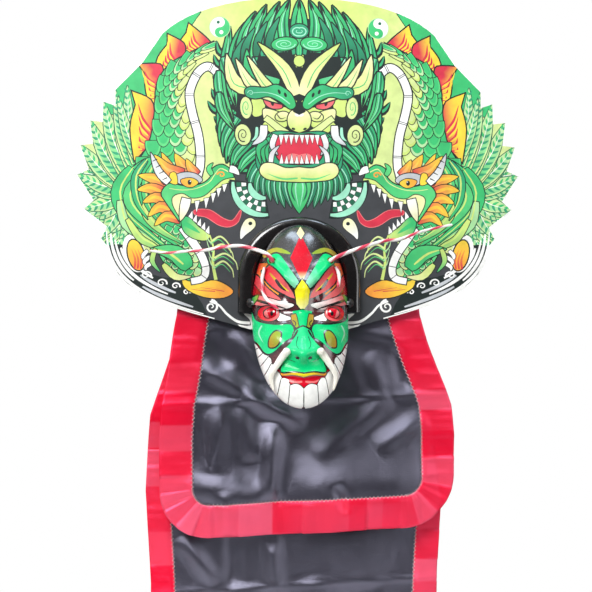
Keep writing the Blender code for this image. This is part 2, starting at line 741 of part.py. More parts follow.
def border_strip(name, table, border, low, high, y, sign, finish):
    outer = cloth_side(table, low, high, 0.0)
    inner = cloth_side(table, low, high, border - GAP / 2)
    outline = [(sign * x, z) for x, z in outer + list(reversed(inner))]
    return plate(name, outline, y, y + CLOTH_THICK, finish)


def cloth_end(name, table, border, high, bottom, y, finish):
    half = cloth_hem(table, high, bottom, border + GAP / 2)
    outline = half + [(-x, z) for x, z in reversed(half[:-1])]
    return plate(name, outline, y, y + CLOTH_THICK, finish)


def border_end(name, table, border, high, bottom, y, finish):
    outer = cloth_hem(table, high, bottom, 0.0)
    inner = cloth_hem(table, high, bottom, border - GAP / 2)
    outline = outer + [(-x, z) for x, z in reversed(outer[:-1])]
    outline += [(-x, z) for x, z in inner[:-1]] + list(reversed(inner))
    return plate(name, outline, y, y + CLOTH_THICK, finish)


def make_front_cloth():
    """The front layer: a fixed upper stretch, and a flap below the fold line."""
    black, red = (0.035, 0.032, 0.05), (0.9, 0.03, 0.07)
    high, low = RAIL_HIGH, FRONT_FOLD_Z + FOLD_GAP / 2
    y = FRONT_CLOTH_Y
    name = "front_cloth_upper"
    upper = cloth_stretch(name, FRONT_OUTER, FRONT_BORDER, low, high, y, own_finish(name, black, 0.35))
    strips = []
    for side, sign in (("left", -1), ("right", 1)):
        name = f"front_border_upper_{side}"
        finish = own_finish(name, red, 0.35)
        strips.append(border_strip(name, FRONT_OUTER, FRONT_BORDER, low, high, y, sign, finish))
    top = FRONT_FOLD_Z - FOLD_GAP / 2
    name = "front_cloth_flap"
    flap = cloth_end(name, FRONT_OUTER, FRONT_BORDER, top, FRONT_BOTTOM, y, own_finish(name, black, 0.35))
    name = "front_border_flap"
    border = border_end(name, FRONT_OUTER, FRONT_BORDER, top, FRONT_BOTTOM, y, own_finish(name, red, 0.35))
    axis = add_axis("front_fold_axis", (0, y + CLOTH_THICK / 2, FRONT_FOLD_Z))
    hang_on(axis, flap, border)
    return strips[0], upper, strips[1]


def make_rear_cloth():
    """The rear layer: a header glued to the rail, a long stretch, and a tail below the fold line."""
    black, red = (0.03, 0.028, 0.045), (0.85, 0.03, 0.07)
    y = REAR_CLOTH_Y
    middle = y + CLOTH_THICK / 2
    header = [(-140 * MM, 0), (140 * MM, 0), (140 * MM, RAIL_HIGH), (-140 * MM, RAIL_HIGH)]
    finish = own_finish("rear_cloth_header", black, 0.35)
    head_strip = plate("rear_cloth_header", header, y, y + CLOTH_THICK, finish)
    for name, x in (("left", -SPACER_X), ("middle", 0.0), ("right", SPACER_X)):
        place = (x, y - 1 * MM, (RAIL_LOW + RAIL_HIGH) / 2)
        end = (x, y + 4 * MM, (RAIL_LOW + RAIL_HIGH) / 2)
        drill(f"header_{name}_clearance", [head_strip], place, end, SCREW_HEAD_RADIUS + 0.6 * MM)
    high, low = REAR_TOP_Z - FOLD_GAP / 2, REAR_FOLD_Z + FOLD_GAP / 2
    name = "rear_cloth_upper"
    pieces = [cloth_stretch(name, REAR_OUTER, REAR_BORDER, low, high, y, own_finish(name, black, 0.35))]
    for side, sign in (("left", -1), ("right", 1)):
        name = f"rear_border_upper_{side}"
        finish = own_finish(name, red, 0.35)
        pieces.append(border_strip(name, REAR_OUTER, REAR_BORDER, low, high, y, sign, finish))
    swing = add_axis("rear_swing_axis", (0, middle, REAR_TOP_Z))
    hang_on(swing, *pieces)
    top = REAR_FOLD_Z - FOLD_GAP / 2
    name = "rear_cloth_tail"
    tail = cloth_end(name, REAR_OUTER, REAR_BORDER, top, REAR_BOTTOM, y, own_finish(name, black, 0.35))
    name = "rear_border_tail"
    border = border_end(name, REAR_OUTER, REAR_BORDER, top, REAR_BOTTOM, y, own_finish(name, red, 0.35))
    fold = add_axis("rear_fold_axis", (0, middle, REAR_FOLD_Z))
    hang_on(fold, tail, border)
    hang_on(swing, fold)


def move_origin_to_batten():
    """Hangs every loose object on one empty, and moves that from the batten's back to the origin."""
    loose = [obj for obj in bpy.data.objects if obj.parent is None]
    base = add_axis("hanging_point", (0, BATTEN_BACK, (BATTEN_LOW + BATTEN_HIGH) / 2))
    hang_on(base, *loose)
    base.location = (0, 0, 0)


def main():
    clear_scene()
    face, backing = make_panel()
    spine, batten, rail, spacers = make_battens()
    front_layers = make_front_cloth()
    make_rear_cloth()
    make_batten_screws(spine, batten, rail, spacers, front_layers)
    collar = make_collar()
    make_collar_screws(collar, face, backing)
    head = make_head()
    make_eyes(head)
    make_tusks()
    make_whiskers(head)
    make_face_curls()
    make_jaw(head)
    make_grip("head_grip_dowel", (-34 * MM, 38 * MM), 8 * MM, (inner_half_width,))
    move_origin_to_batten()


main()
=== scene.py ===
"""Looks of a snapping-jaw dance dragon: a painted head on a printed crest, over two bordered satin cloths.

Sizes are in millimetres from the panel's datum, which the frame's crest sheet places: X = 0 is the middle,
Y = 0 lies within the board, -Y is the front, and Z = 0 is just above the panel's lower edge.
The drawings give the right half (x >= 0) of a symmetric picture.
"""

import math

import bmesh
import bpy
import numpy as np
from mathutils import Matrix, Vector, noise
from mathutils.geometry import delaunay_2d_cdt


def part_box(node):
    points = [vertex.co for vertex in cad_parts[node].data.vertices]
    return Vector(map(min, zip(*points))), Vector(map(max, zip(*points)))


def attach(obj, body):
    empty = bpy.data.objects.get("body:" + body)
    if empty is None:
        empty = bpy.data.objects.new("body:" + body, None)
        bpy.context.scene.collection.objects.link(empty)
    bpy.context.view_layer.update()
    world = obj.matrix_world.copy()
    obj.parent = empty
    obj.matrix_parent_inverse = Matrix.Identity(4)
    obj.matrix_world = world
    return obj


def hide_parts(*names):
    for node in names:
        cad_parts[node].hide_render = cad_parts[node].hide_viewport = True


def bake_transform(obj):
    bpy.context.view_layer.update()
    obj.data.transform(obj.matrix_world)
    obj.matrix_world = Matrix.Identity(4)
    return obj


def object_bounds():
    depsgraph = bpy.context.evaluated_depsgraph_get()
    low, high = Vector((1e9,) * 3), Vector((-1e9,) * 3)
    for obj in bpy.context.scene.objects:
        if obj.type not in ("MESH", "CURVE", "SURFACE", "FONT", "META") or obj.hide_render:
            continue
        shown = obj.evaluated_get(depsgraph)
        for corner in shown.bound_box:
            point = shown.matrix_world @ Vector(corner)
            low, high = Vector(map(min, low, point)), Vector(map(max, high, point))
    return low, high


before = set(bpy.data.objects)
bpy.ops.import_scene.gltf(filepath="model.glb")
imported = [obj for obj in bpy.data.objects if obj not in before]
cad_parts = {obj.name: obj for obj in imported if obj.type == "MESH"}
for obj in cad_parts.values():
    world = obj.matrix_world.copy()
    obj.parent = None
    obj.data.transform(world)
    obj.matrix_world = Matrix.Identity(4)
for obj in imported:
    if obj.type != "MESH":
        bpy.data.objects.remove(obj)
CAD_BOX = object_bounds()

MM = 0.001
SHEET_LOW, SHEET_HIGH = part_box("crest_face_sheet")
SHEET_FRONT_Y, CROWN_TOP = -4.0, 394.0
DATUM = Vector((0, SHEET_LOW.y - SHEET_FRONT_Y * MM, SHEET_HIGH.z - CROWN_TOP * MM))
SHEET_THICK = 1.2

INK = {
    "lime": (206, 228, 124),
    "pale_lime": (214, 230, 152),
    "cream": (240, 238, 176),
    "green": (58, 190, 112),
    "bright": (92, 208, 124),
    "deep": (24, 104, 74),
    "teal": (44, 158, 112),
    "mane": (50, 172, 112),
    "feather": (182, 224, 164),
    "mint": (158, 228, 196),
    "yellow": (250, 214, 66),
    "orange": (248, 158, 60),
    "red": (214, 48, 72),
    "pink": (238, 122, 122),
    "white": (250, 250, 246),
    "silver": (196, 200, 204),
    "ground": (62, 64, 68),
    "line": (18, 32, 30),
    "black": (14, 12, 14),
    "mask_green": (0, 208, 122),
    "spring": (40, 214, 136),
    "mask_red": (212, 8, 38),
    "mask_dark_red": (74, 10, 20),
    "mask_yellow": (250, 238, 40),
    "gold": (184, 140, 52),
    "olive": (140, 178, 60),
}


def at(x, y, z):
    """A place in millimetres from the datum, as a point of the frame."""
    return DATUM + Vector((x, y, z)) * MM


def linear(colour):
    """Linear values of an sRGB colour given from 0 to 255."""
    shares = [c / 255 for c in colour]
    return tuple(s / 12.92 if s <= 0.04045 else ((s + 0.055) / 1.055) ** 2.4 for s in shares)


# Curves


def catmull_rom(around, t):
    """A point a share t of the way from the second of four points to the third."""
    a, b, c, d = around
    point = 2 * b + (c - a) * t + (2 * a - 5 * b + 4 * c - d) * t * t
    return 0.5 * (point + (3 * b - a - 3 * c + d) * t**3)


def smooth(places, steps=5, closed=False):
    """A smooth run of points through the given places."""
    marks = [Vector(p) for p in places]
    count = len(marks)
    spans = count if closed else count - 1
    found = []
    for i in range(spans):
        if closed:
            around = [marks[(i + k) % count] for k in (-1, 0, 1, 2)]
        else:
            around = [marks[max(0, min(count - 1, i + k))] for k in (-1, 0, 1, 2)]
        found += [catmull_rom(around, k / steps) for k in range(steps)]
    return found if closed else found + [marks[-1]]


def bezier(points, steps):
    """Points along a cubic from its four control points, without the last one."""
    a, b, c, d = (Vector(p) for p in points)
    turns = [i / steps for i in range(steps)]
    return [a * (1 - t) ** 3 + b * 3 * (1 - t) ** 2 * t + c * 3 * (1 - t) * t * t + d * t**3 for t in turns]


def arc(centre, radius, start_deg, end_deg, steps):
    """Points along an arc, counted in degrees from the right and upwards."""
    turns = [math.radians(start_deg + (end_deg - start_deg) * i / steps) for i in range(steps + 1)]
    return [Vector((centre[0] + radius * math.cos(t), centre[1] + radius * math.sin(t))) for t in turns]


def oval(centre, half_x, half_z, tilt=0, steps=16):
    """A closed oval, tilted by some degrees."""
    tilt = math.radians(tilt)
    found = []
    for i in range(steps):
        turn = 2 * math.pi * i / steps
        x, z = half_x * math.cos(turn), half_z * math.sin(turn)
        found.append(Vector((centre[0] + x * math.cos(tilt) - z * math.sin(tilt),
                             centre[1] + x * math.sin(tilt) + z * math.cos(tilt))))
    return found


def ribbon(path, widths):
    """The outline of a band along a path, with one full width for each point."""
    left, right = [], []
    for i, point in enumerate(path):
        ahead = path[min(i + 1, len(path) - 1)] - path[max(i - 1, 0)]
        side = Vector((-ahead.y, ahead.x)).normalized() * widths[i] / 2
        left.append(point + side)
        right.append(point - side)
    return left + right[::-1]


def blade(places, width, root=0.35, steps=4):
    """A leaf along a smooth path: root is the width's share at the base, and it ends in a point."""
    path = smooth(places, steps)
    last = len(path) - 1
    widths = []
    for i in range(last + 1):
        t = i / last
        swell = math.sin(math.pi * min(1.0, t / 0.8 + 0.1)) if t < 0.36 else 1 - ((t - 0.36) / 0.64) ** 1.7
        widths.append(width * max(0.02, root + (1 - root) * swell if t < 0.36 else swell))
    return ribbon(path, widths)


def band(places, width, end_width=None, steps=5):
    """A line of even width, or one that tapers to end_width."""
    path = smooth(places, steps)
    end_width = width if end_width is None else end_width
    last = len(path) - 1
    return ribbon(path, [width + (end_width - width) * i / last for i in range(last + 1)])


def spiral(centre, radius, turns, width, start_deg=0, flat=1.0, way=1):
    """A tapering line that winds in to the centre; flat squeezes its height."""
    steps = int(14 * turns)
    path = []
    for i in range(steps + 1):
        share = 1 - i / steps
        turn = math.radians(start_deg) + way * 2 * math.pi * turns * (1 - share)
        reach = radius * (0.12 + 0.88 * share)
        path.append(Vector((centre[0] + reach * math.cos(turn), centre[1] + flat * reach * math.sin(turn))))
    return ribbon(path, [width * (1 - 0.6 * i / steps) for i in range(steps + 1)])


def grown(points, margin):
    """A closed outline moved outwards by a margin, with its sharp points kept short."""
    area = sum(a.x * b.y - b.x * a.y for a, b in zip(points, points[1:] + points[:1]))
    margin = margin if area > 0 else -margin
    found = []
    for i, point in enumerate(points):
        first = (point - points[i - 1]).normalized()
        second = (points[(i + 1) % len(points)] - point).normalized()
        out = Vector((first.y + second.y, -first.x - second.x))
        if out.length < 1e-6:
            out = Vector((first.y, -first.x))
        reach = min(1 / max(out.length / 2, 0.01), 2.2)
        found.append(point + out.normalized() * margin * reach)
    return found


# Drawings: coloured shapes that become one triangulated mesh


MERGE_DISTANCE, MIDDLE_WIDTH = 0.004, 0.02


class Drawing:
    """Flat coloured shapes in painter's order: a later shape covers an earlier one."""

    def __init__(self):
        self.shapes = []

    def fill(self, ink, points, fade=None, edge=0.0, edge_ink="line"):
        """One shape. fade = (second ink, start, end) blends its colour from start to end."""
        points = [Vector(p) for p in points]
        if edge:
            self.shapes.append((grown(points, edge), INK[edge_ink], None))
        if fade:
            fade = (INK[fade[0]], Vector(fade[1]), Vector(fade[2]))
        self.shapes.append((points, INK[ink], fade))

    def leaf(self, ink, places, width, root=0.35, fade_to=None, edge=1.1, edge_ink="line"):
        """A blade with a dark edge, whose colour may blend from its base to its tip."""
        fade = (fade_to, places[0], places[-1]) if fade_to else None
        self.fill(ink, blade(places, width, root), fade, edge, edge_ink)

    def line(self, ink, places, width, end_width=None):
        self.fill(ink, band(places, width, end_width))

    def shape(self, ink, places, *look, steps=4, **more_look):
        """One shape whose rounded outline runs through the places."""
        self.fill(ink, smooth(places, steps, closed=True), *look, **more_look)


def inside(points, outline):
    """Which of the points lie within a closed outline."""
    winding = np.zeros(len(points), int)
    x, z = points[:, 0], points[:, 1]
    for a, b in zip(outline, outline[1:] + outline[:1]):
        side = (b.x - a.x) * (z - a.y) - (x - a.x) * (b.y - a.y)
        winding += (a.y <= z) & (b.y > z) & (side > 0)
        winding -= (a.y > z) & (b.y <= z) & (side < 0)
    return winding != 0


def divided(points, longest):
    """A closed outline with no stretch longer than the given length."""
    found = []
    for a, b in zip(points, points[1:] + points[:1]):
        pieces = max(1, math.ceil((b - a).length / longest))
        found += [a.lerp(b, i / pieces) for i in range(pieces)]
    return found


def triangulate(drawing, outline, holes=(), extra=(), longest=40.0):
    """Triangles of a drawing within an outline, each of one shape, with a linear colour for each corner."""
    rings = [outline] + [list(h) for h in holes] + [points for points, _, _ in drawing.shapes]
    places, edges = [], []
    for ring in rings:
        ring = divided(ring, longest)
        first = len(places)
        places += ring
        edges += [(first + i, first + (i + 1) % len(ring)) for i in range(len(ring))]
    places += [Vector(p) for p in extra]
    verts, _, faces, *_ = delaunay_2d_cdt(places, edges, [], 0, MERGE_DISTANCE, False)
    points = np.array([(v.x, v.y) for v in verts])
    triangles = np.array(faces)
    centres = points[triangles].mean(axis=1)
    kept = inside(centres, outline)
    for hole in holes:
        kept &= ~inside(centres, list(hole))
    triangles, centres = triangles[kept], centres[kept]
    colours = np.ones((len(triangles), 3, 3))
    for ring, ink, fade in drawing.shapes:
        low = np.array([min(p.x for p in ring), min(p.y for p in ring)])
        high = np.array([max(p.x for p in ring), max(p.y for p in ring)])
        near = np.nonzero(((centres >= low) & (centres <= high)).all(axis=1))[0]
        near = near[inside(centres[near], ring)]
        colour = np.array(linear(ink))
        colours[near] = colour
        if fade and len(near):
            other, start, end = fade
            along = np.array(end - start)
            share = ((points[triangles[near]] - np.array(start)) @ along) / (along @ along)
            share = np.clip(share, 0, 1)[..., None]
            colours[near] = colour * (1 - share) + np.array(linear(other)) * share
    return points, triangles, colours


def mirrored_mesh(name, points, triangles, colours, lift):
    """A mesh of both halves, joined along the middle; lift turns flat (x, z) into a place in mm."""
    used, triangles = np.unique(triangles, return_inverse=True)
    points, triangles = points[used], triangles.reshape(-1, 3)
    middle = np.abs(points[:, 0]) < MIDDLE_WIDTH
    points[middle, 0] = 0.0
    twin = np.where(middle, np.arange(len(points)), np.cumsum(~middle) - 1 + len(points))
    flat = np.vstack([points, points[~middle] * (-1, 1)])
    triangles = np.vstack([triangles, twin[triangles][:, ::-1]])
    colours = np.concatenate([colours, colours[:, ::-1]])
    mesh = bpy.data.meshes.new(name)
    mesh.from_pydata([at(*lift(x, z)) for x, z in flat], [], triangles.tolist())
    paint = mesh.color_attributes.new("paint", "FLOAT_COLOR", "CORNER")
    alpha = np.ones((len(triangles), 3, 1))
    paint.data.foreach_set("color", np.concatenate([colours, alpha], axis=2).astype(np.float32).ravel())
    return mesh


# Pieces


def add_piece(name, mesh, materials, body=None, replaces=(), smooth_angle=None):
    """Links a mesh as a piece that rides on a body and may stand for CAD nodes."""
    for material in materials:
        mesh.materials.append(material)
    if smooth_angle is None:
        mesh.shade_flat()
    else:
        mesh.shade_smooth()
        mesh.set_sharp_from_angle(angle=math.radians(smooth_angle))
    obj = bpy.data.objects.new(name, mesh)
    bpy.context.scene.collection.objects.link(obj)
    if body:
        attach(obj, body)
    if replaces:
        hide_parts(*replaces)
    return obj


def mesh_from(name, verts, faces):
    mesh = bpy.data.meshes.new(name)
    mesh.from_pydata([tuple(v) for v in verts], [], faces)
    return mesh


def tube_faces(rings, sides, first=0):
    """Faces round a tube of rings of points, and then its two end caps."""
    faces = []
    for i in range(rings - 1):
        for k in range(sides):
            a, b = first + i * sides + k, first + i * sides + (k + 1) % sides
            faces.append((a, b, b + sides, a + sides))
    last = first + (rings - 1) * sides
    return faces + [tuple(range(first, first + sides))[::-1], tuple(range(last, last + sides))]


def face_out(mesh):
    """Turns the faces of a closed mesh outwards."""
    work = bmesh.new()
    work.from_mesh(mesh)
    bmesh.ops.recalc_face_normals(work, faces=work.faces)
    work.to_mesh(mesh)
    work.free()


def paint_faces(mesh, inks):
    """Paints each face with the ink of its number."""
    paint = mesh.color_attributes.new("paint", "FLOAT_COLOR", "CORNER")
    for polygon, ink in zip(mesh.polygons, inks):
        for loop in polygon.loop_indices:
            paint.data[loop].color = (*linear(INK[ink]), 1.0)


def close_back(mesh, depth, back_slot):
    """Gives a flat sheet its thickness: side walls and a plain back, in another material slot."""
    work = bmesh.new()
    work.from_mesh(mesh)
    rim = [e for e in work.edges if e.is_boundary]
    made = bmesh.ops.extrude_edge_only(work, edges=rim)["geom"]
    moved = [g for g in made if isinstance(g, bmesh.types.BMVert)]
    bmesh.ops.translate(work, verts=moved, vec=(0, depth * MM, 0))
    behind = set(moved)
    back_rim = [e for e in made if isinstance(e, bmesh.types.BMEdge) and behind.issuperset(e.verts)]
    filled = bmesh.ops.triangle_fill(work, edges=back_rim, use_beauty=True)["geom"]
    for face in [g for g in made + filled if isinstance(g, bmesh.types.BMFace)]:
        face.material_index = back_slot
    bmesh.ops.recalc_face_normals(work, faces=work.faces)
    work.to_mesh(mesh)
    work.free()


def tube_mesh(name, path, radii, sides=14):
    """A round bar along a path in mm. Its UV runs once round (u) and in mm along (v)."""
    path = [Vector(p) for p in path]
    verts, coordinates, along = [], [], []
    across, travelled = None, 0.0
    for i, point in enumerate(path):
        ahead = (path[min(i + 1, len(path) - 1)] - path[max(i - 1, 0)]).normalized()
        across = ahead.orthogonal() if across is None else across - ahead * across.dot(ahead)
        across.normalize()
        other = ahead.cross(across)
        travelled += (point - path[i - 1]).length if i else 0.0
        along.append(travelled)
        for k in range(sides):
            turn = 2 * math.pi * k / sides
            verts.append(at(*(point + (across * math.cos(turn) + other * math.sin(turn)) * radii[i])))
    for v, next_v in zip(along, along[1:]):
        for k in range(sides):
            u, next_u = k / sides, (k + 1) / sides
            coordinates += [(u, v), (next_u, v), (next_u, next_v), (u, next_v)]
    coordinates += [(k / sides, 0.0) for k in reversed(range(sides))]
    coordinates += [(k / sides, travelled) for k in range(sides)]
    mesh = mesh_from(name, verts, tube_faces(len(path), sides))
    layer = mesh.uv_layers.new(name="length")
    layer.data.foreach_set("uv", np.array(coordinates, np.float32).ravel())
    return mesh


def sheet_mesh(name, sheets, ribbon_sheen_paint=None):
    """One mesh from sheets, each of them rows of points in mm, with an optional shade for every point."""
    verts, faces = [], []
    for rows in sheets:
        first, width = len(verts), len(rows[0])
        verts += [at(*p) for row in rows for p in row]
        for i in range(len(rows) - 1):
            for k in range(width - 1):
                a = first + i * width + k
                faces.append((a, a + width, a + width + 1, a + 1))
    mesh = mesh_from(name, verts, faces)
    if ribbon_sheen_paint:
        layer = mesh.color_attributes.new("paint", "FLOAT_COLOR", "POINT")
        values = [(*shade, 1.0) for rows in ribbon_sheen_paint for row in rows for shade in row]
        layer.data.foreach_set("color", np.array(values, np.float32).ravel())
    return mesh


# Materials


def shader_node(material, kind, values=(), **settings):
    """Adds a node; values maps its inputs' names or numbers to values or to another node's output."""
    node = material.node_tree.nodes.new(kind)
    for name, value in settings.items():
        setattr(node, name, value)
    for name, value in dict(values).items():
        if isinstance(value, bpy.types.NodeSocket):
            material.node_tree.links.new(value, node.inputs[name])
        else:
            node.inputs[name].default_value = value
    return node


def grain_noise(material, scale, detail=4.0, roughness=0.55):
    """Noise in object space; scale counts features per metre along x, y and z."""
    place = shader_node(material, "ShaderNodeTexCoord").outputs["Object"]
    stretched = shader_node(material, "ShaderNodeMapping", {"Vector": place, "Scale": scale})
    values = {"Vector": stretched.outputs["Vector"], "Detail": detail, "Roughness": roughness, "Scale": 1.0}
    return shader_node(material, "ShaderNodeTexNoise", values).outputs["Fac"]


def mix_colour(material, share, first, second, blend="MIX"):
    """A colour between two colours, or their product; a Mix node's colours are its inputs 6 and 7."""
    values = {0: share, 6: first, 7: second}
    return shader_node(material, "ShaderNodeMix", values, data_type="RGBA", blend_type=blend).outputs[2]


def math_node(material, operation, first, second=0.5):
    return shader_node(material, "ShaderNodeMath", {0: first, 1: second}, operation=operation).outputs[0]


def feeding(shader, name):
    """The output that is linked to a shader's input."""
    links = shader.inputs[name].links
    return links[0].from_socket if links else None


def ranged(material, value, low, high, start=0.3, end=0.7):
    """Runs from low to high while the value runs from start to end."""
    values = {"Value": value, "From Min": start, "From Max": end, "To Min": low, "To Max": high}
    return shader_node(material, "ShaderNodeMapRange", values).outputs["Result"]


def add_bumps(material, shader, heights):
    """Adds bumps, each a (height output, distance in mm), to what the shader's normal already has."""
    normal = feeding(shader, "Normal")
    for height, distance in heights:
        values = {"Height": height, "Distance": distance * MM}
        if normal:
            values["Normal"] = normal
        normal = shader_node(material, "ShaderNodeBump", values).outputs["Normal"]
    material.node_tree.links.new(normal, shader.inputs["Normal"])


def surface(name, tones, scale, rough, bumps, fine=None, paint=False, **shader_values):
    """A Principled material whose tone, roughness and bump follow the same object-space grain.

    tones are two sRGB colours, or two greys that multiply the mesh's paint. bumps = (coarse, fine) in mm.
    """
    material = bpy.data.materials.new(name)
    material.use_nodes = True
    shader = material.node_tree.nodes["Principled BSDF"]
    coarse = grain_noise(material, scale)
    small = grain_noise(material, fine or tuple(6 * s for s in scale), 2.0)
    share = ranged(material, coarse, 0.0, 1.0)
    dark, light = [(*linear(tone), 1.0) for tone in tones]
    colour = mix_colour(material, share, dark, light)
    if paint:
        drawn = shader_node(material, "ShaderNodeVertexColor", layer_name="paint").outputs["Color"]
        colour = mix_colour(material, 1.0, drawn, colour, "MULTIPLY")
    material.node_tree.links.new(colour, shader.inputs["Base Color"])
    low, high = rough
    material.node_tree.links.new(ranged(material, small, low, high), shader.inputs["Roughness"])
    for key, value in shader_values.items():
        shader.inputs[key.replace("_", " ")].default_value = value
    add_bumps(material, shader, ((coarse, bumps[0]), (small, bumps[1])))
    return material


GREYS = ((228, 228, 228), (255, 255, 255))


def satin(name, tones, gloss_tint, ior, paint=False, thread=0.45):
    """Woven satin: two crossing sets of threads, a strong soft gloss, and broad soft changes of tone, random
    and painted in to stand for patchy sheen.
    """
    material = surface(name, tones, (8, 8, 11), (0.3, 0.4), (0.5, 0.1), (160, 160, 700), paint)
    shader = material.node_tree.nodes["Principled BSDF"]
    place = shader_node(material, "ShaderNodeTexCoord").outputs["Object"]
    weave = []
    for direction in ("X", "Z"):
        values = {"Vector": place, "Scale": 1 / (thread * MM) / 6.28, "Distortion": 0.6}
        wave = shader_node(material, "ShaderNodeTexWave", values, bands_direction=direction)
        weave.append((wave.outputs["Fac"], 0.05))
    add_bumps(material, shader, weave)
    gloss = {"Specular IOR Level": 1.0, "IOR": ior, "Anisotropic": 0.5,
             "Specular Tint": (*linear(gloss_tint), 1.0)}
    for key, value in gloss.items():
        shader.inputs[key].default_value = value
    return material


def enamel(name):
    """Paint brushed on carved wood; its black parts are lacquered, so they shine more than its colours."""
    material = surface(name, GREYS, (70, 70, 70), (0.16, 0.3), (0.3, 0.04), None, True, Coat_Roughness=0.12)
    shader = material.node_tree.nodes["Principled BSDF"]
    drawn = shader_node(material, "ShaderNodeVertexColor", layer_name="paint").outputs["Color"]
    grey = shader_node(material, "ShaderNodeRGBToBW", {"Color": drawn}).outputs["Val"]
    for key, black, coloured in (("Specular IOR Level", 0.9, 0.2), ("Coat Weight", 0.7, 0.1)):
        material.node_tree.links.new(ranged(material, grey, black, coloured, 0.01, 0.06),
                                     shader.inputs[key])
    return material


def wood(name, tones, scale):
    """Planed wood: long grain streaks and darker growth lines."""
    material = surface(name, tones, scale, (0.55, 0.75), (0.15, 0.05))
    shader = material.node_tree.nodes["Principled BSDF"]
    lines = grain_noise(material, tuple(2.2 * s for s in scale), 1.0)
    streak = ranged(material, lines, 0.0, 0.55, 0.56, 0.62)
    dark = (*linear([0.62 * c for c in tones[0]]), 1.0)
    colour = mix_colour(material, streak, feeding(shader, "Base Color"), dark)
    material.node_tree.links.new(colour, shader.inputs["Base Color"])
    return material


def striped(name, first, second, pitch):
    """Candy stripes that wind along a bar whose UV holds its turn and its length in mm."""
    material = surface(name, ((225, 225, 225), (255, 255, 255)), (90, 90, 90), (0.22, 0.36), (0.1, 0.03))
    shader = material.node_tree.nodes["Principled BSDF"]
    uv = shader_node(material, "ShaderNodeUVMap", uv_map="length").outputs["UV"]
    parts = shader_node(material, "ShaderNodeSeparateXYZ", {"Vector": uv})
    turns = math_node(material, "DIVIDE", parts.outputs["Y"], pitch)
    part = math_node(material, "FRACT", math_node(material, "ADD", turns, parts.outputs["X"]))
    rise = ranged(material, part, 0.0, 1.0, 0.42, 0.56)
    fall = ranged(material, part, 1.0, 0.0, 0.86, 1.0)
    share = math_node(material, "MULTIPLY", rise, fall)
    colour = mix_colour(material, share, (*linear(first), 1.0), (*linear(second), 1.0))
    colour = mix_colour(material, 1.0, colour, feeding(shader, "Base Color"), "MULTIPLY")
    material.node_tree.links.new(colour, shader.inputs["Base Color"])
    return material


MATERIALS = {
    "print": surface("printed_sheet", GREYS, (60, 60, 60), (0.4, 0.55), (0.1, 0.03), paint=True),
    "paper": surface("paper_back", ((222, 220, 212), (240, 238, 232)), (90, 90, 90), (0.7, 0.85),
                     (0.1, 0.05)),
    "enamel": enamel("head_paint"),
    "carved": wood("carved_wood", ((168, 128, 84), (206, 168, 118)), (60, 60, 14)),
    "lacquer": surface("black_lacquer", ((8, 7, 8), (20, 17, 18)), (40, 40, 40), (0.12, 0.26), (0.6, 0.05),
                       Coat_Weight=0.7, Coat_Roughness=0.06),
    "tusk": surface("tusk_enamel", ((226, 220, 200), (250, 248, 240)), (60, 60, 30), (0.14, 0.26),
                    (0.3, 0.04),
                    Coat_Weight=0.5),
    "wire": striped("striped_wire", (246, 244, 240), (222, 66, 92), 34.0),
    # the black satin's two tones, mixed by broad noise, paint in a patchy sheen
    "black_satin": satin("black_satin", ((9, 8, 13), (22, 20, 28)), (228, 226, 255), 1.82),
    # multiplies the ribbons' point colours, which hold their painted sheen
    "red_satin": satin("red_satin", GREYS, (255, 112, 160), 1.8, True),
    "thread": surface("sewing_thread", ((186, 178, 184), (236, 230, 232)), (300, 300, 300), (0.5, 0.7),
                      (0.1, 0.05)),
    "board": surface("backing_board", ((30, 28, 28), (48, 45, 44)), (50, 50, 50), (0.75, 0.9), (0.2, 0.1)),
    "upright_wood": wood("upright_wood", ((170, 126, 78), (212, 170, 116)), (90, 90, 6)),
    "level_wood": wood("level_wood", ((164, 120, 74), (208, 164, 110)), (6, 90, 90)),
    "steel": surface("zinc_steel", ((150, 150, 152), (196, 196, 198)), (300, 300, 300), (0.22, 0.4),
                     (0.05, 0.02),
                     Metallic=1.0),
    "brass": surface("brass", ((176, 124, 44), (216, 168, 78)), (200, 200, 200), (0.2, 0.36), (0.05, 0.02),
                     Metallic=1.0),
    "cap": surface("black_cap", ((16, 15, 16), (34, 32, 34)), (200, 200, 200), (0.3, 0.5), (0.08, 0.03)),
    "floor": surface("pale_floor", ((236, 236, 234), (244, 244, 242)), (4, 4, 4), (0.6, 0.75), (0.2, 0.05)),
}


# Crest print


FRINGE_CENTRE, FRINGE_RADIUS, FRINGE_NOTCH = (150, 166), 138, 15
FRINGE_TIP_DEG = (50, 41, 28.5, 14, -2, -21, -39)
FRINGE_NOTCH_TURN_DEG = 3
SHOULDER, SHOULDER_FOOT = (178, 345), (204, 307)
HIP, PANEL_FOOT, PANEL_BOTTOM = (247, 66), (110, -25), (54, -41)


def around(centre, radius, degrees):
    """The point at a distance and a direction from a centre."""
    turn = math.radians(degrees)
    return Vector((centre[0] + radius * math.cos(turn), centre[1] + radius * math.sin(turn)))


def crest_outline():
    """Right half of the crest, down the edge from the crown and back up the middle."""
    half = bezier(((0, CROWN_TOP), (95, CROWN_TOP), (150, 372), SHOULDER), 10)
    half += [Vector(SHOULDER), Vector(SHOULDER_FOOT)]
    for i, degrees in enumerate(FRINGE_TIP_DEG):
        half.append(around(FRINGE_CENTRE, FRINGE_RADIUS, degrees))
        if i + 1 < len(FRINGE_TIP_DEG):
            notch = FRINGE_TIP_DEG[i + 1] + FRINGE_NOTCH_TURN_DEG
            half.append(around(FRINGE_CENTRE, FRINGE_RADIUS - FRINGE_NOTCH, notch))
    half += bezier((HIP, (243, 14), (190, -4), PANEL_FOOT), 8)
    return half + [Vector(PANEL_FOOT), Vector(PANEL_BOTTOM), Vector((0, PANEL_BOTTOM[1]))]


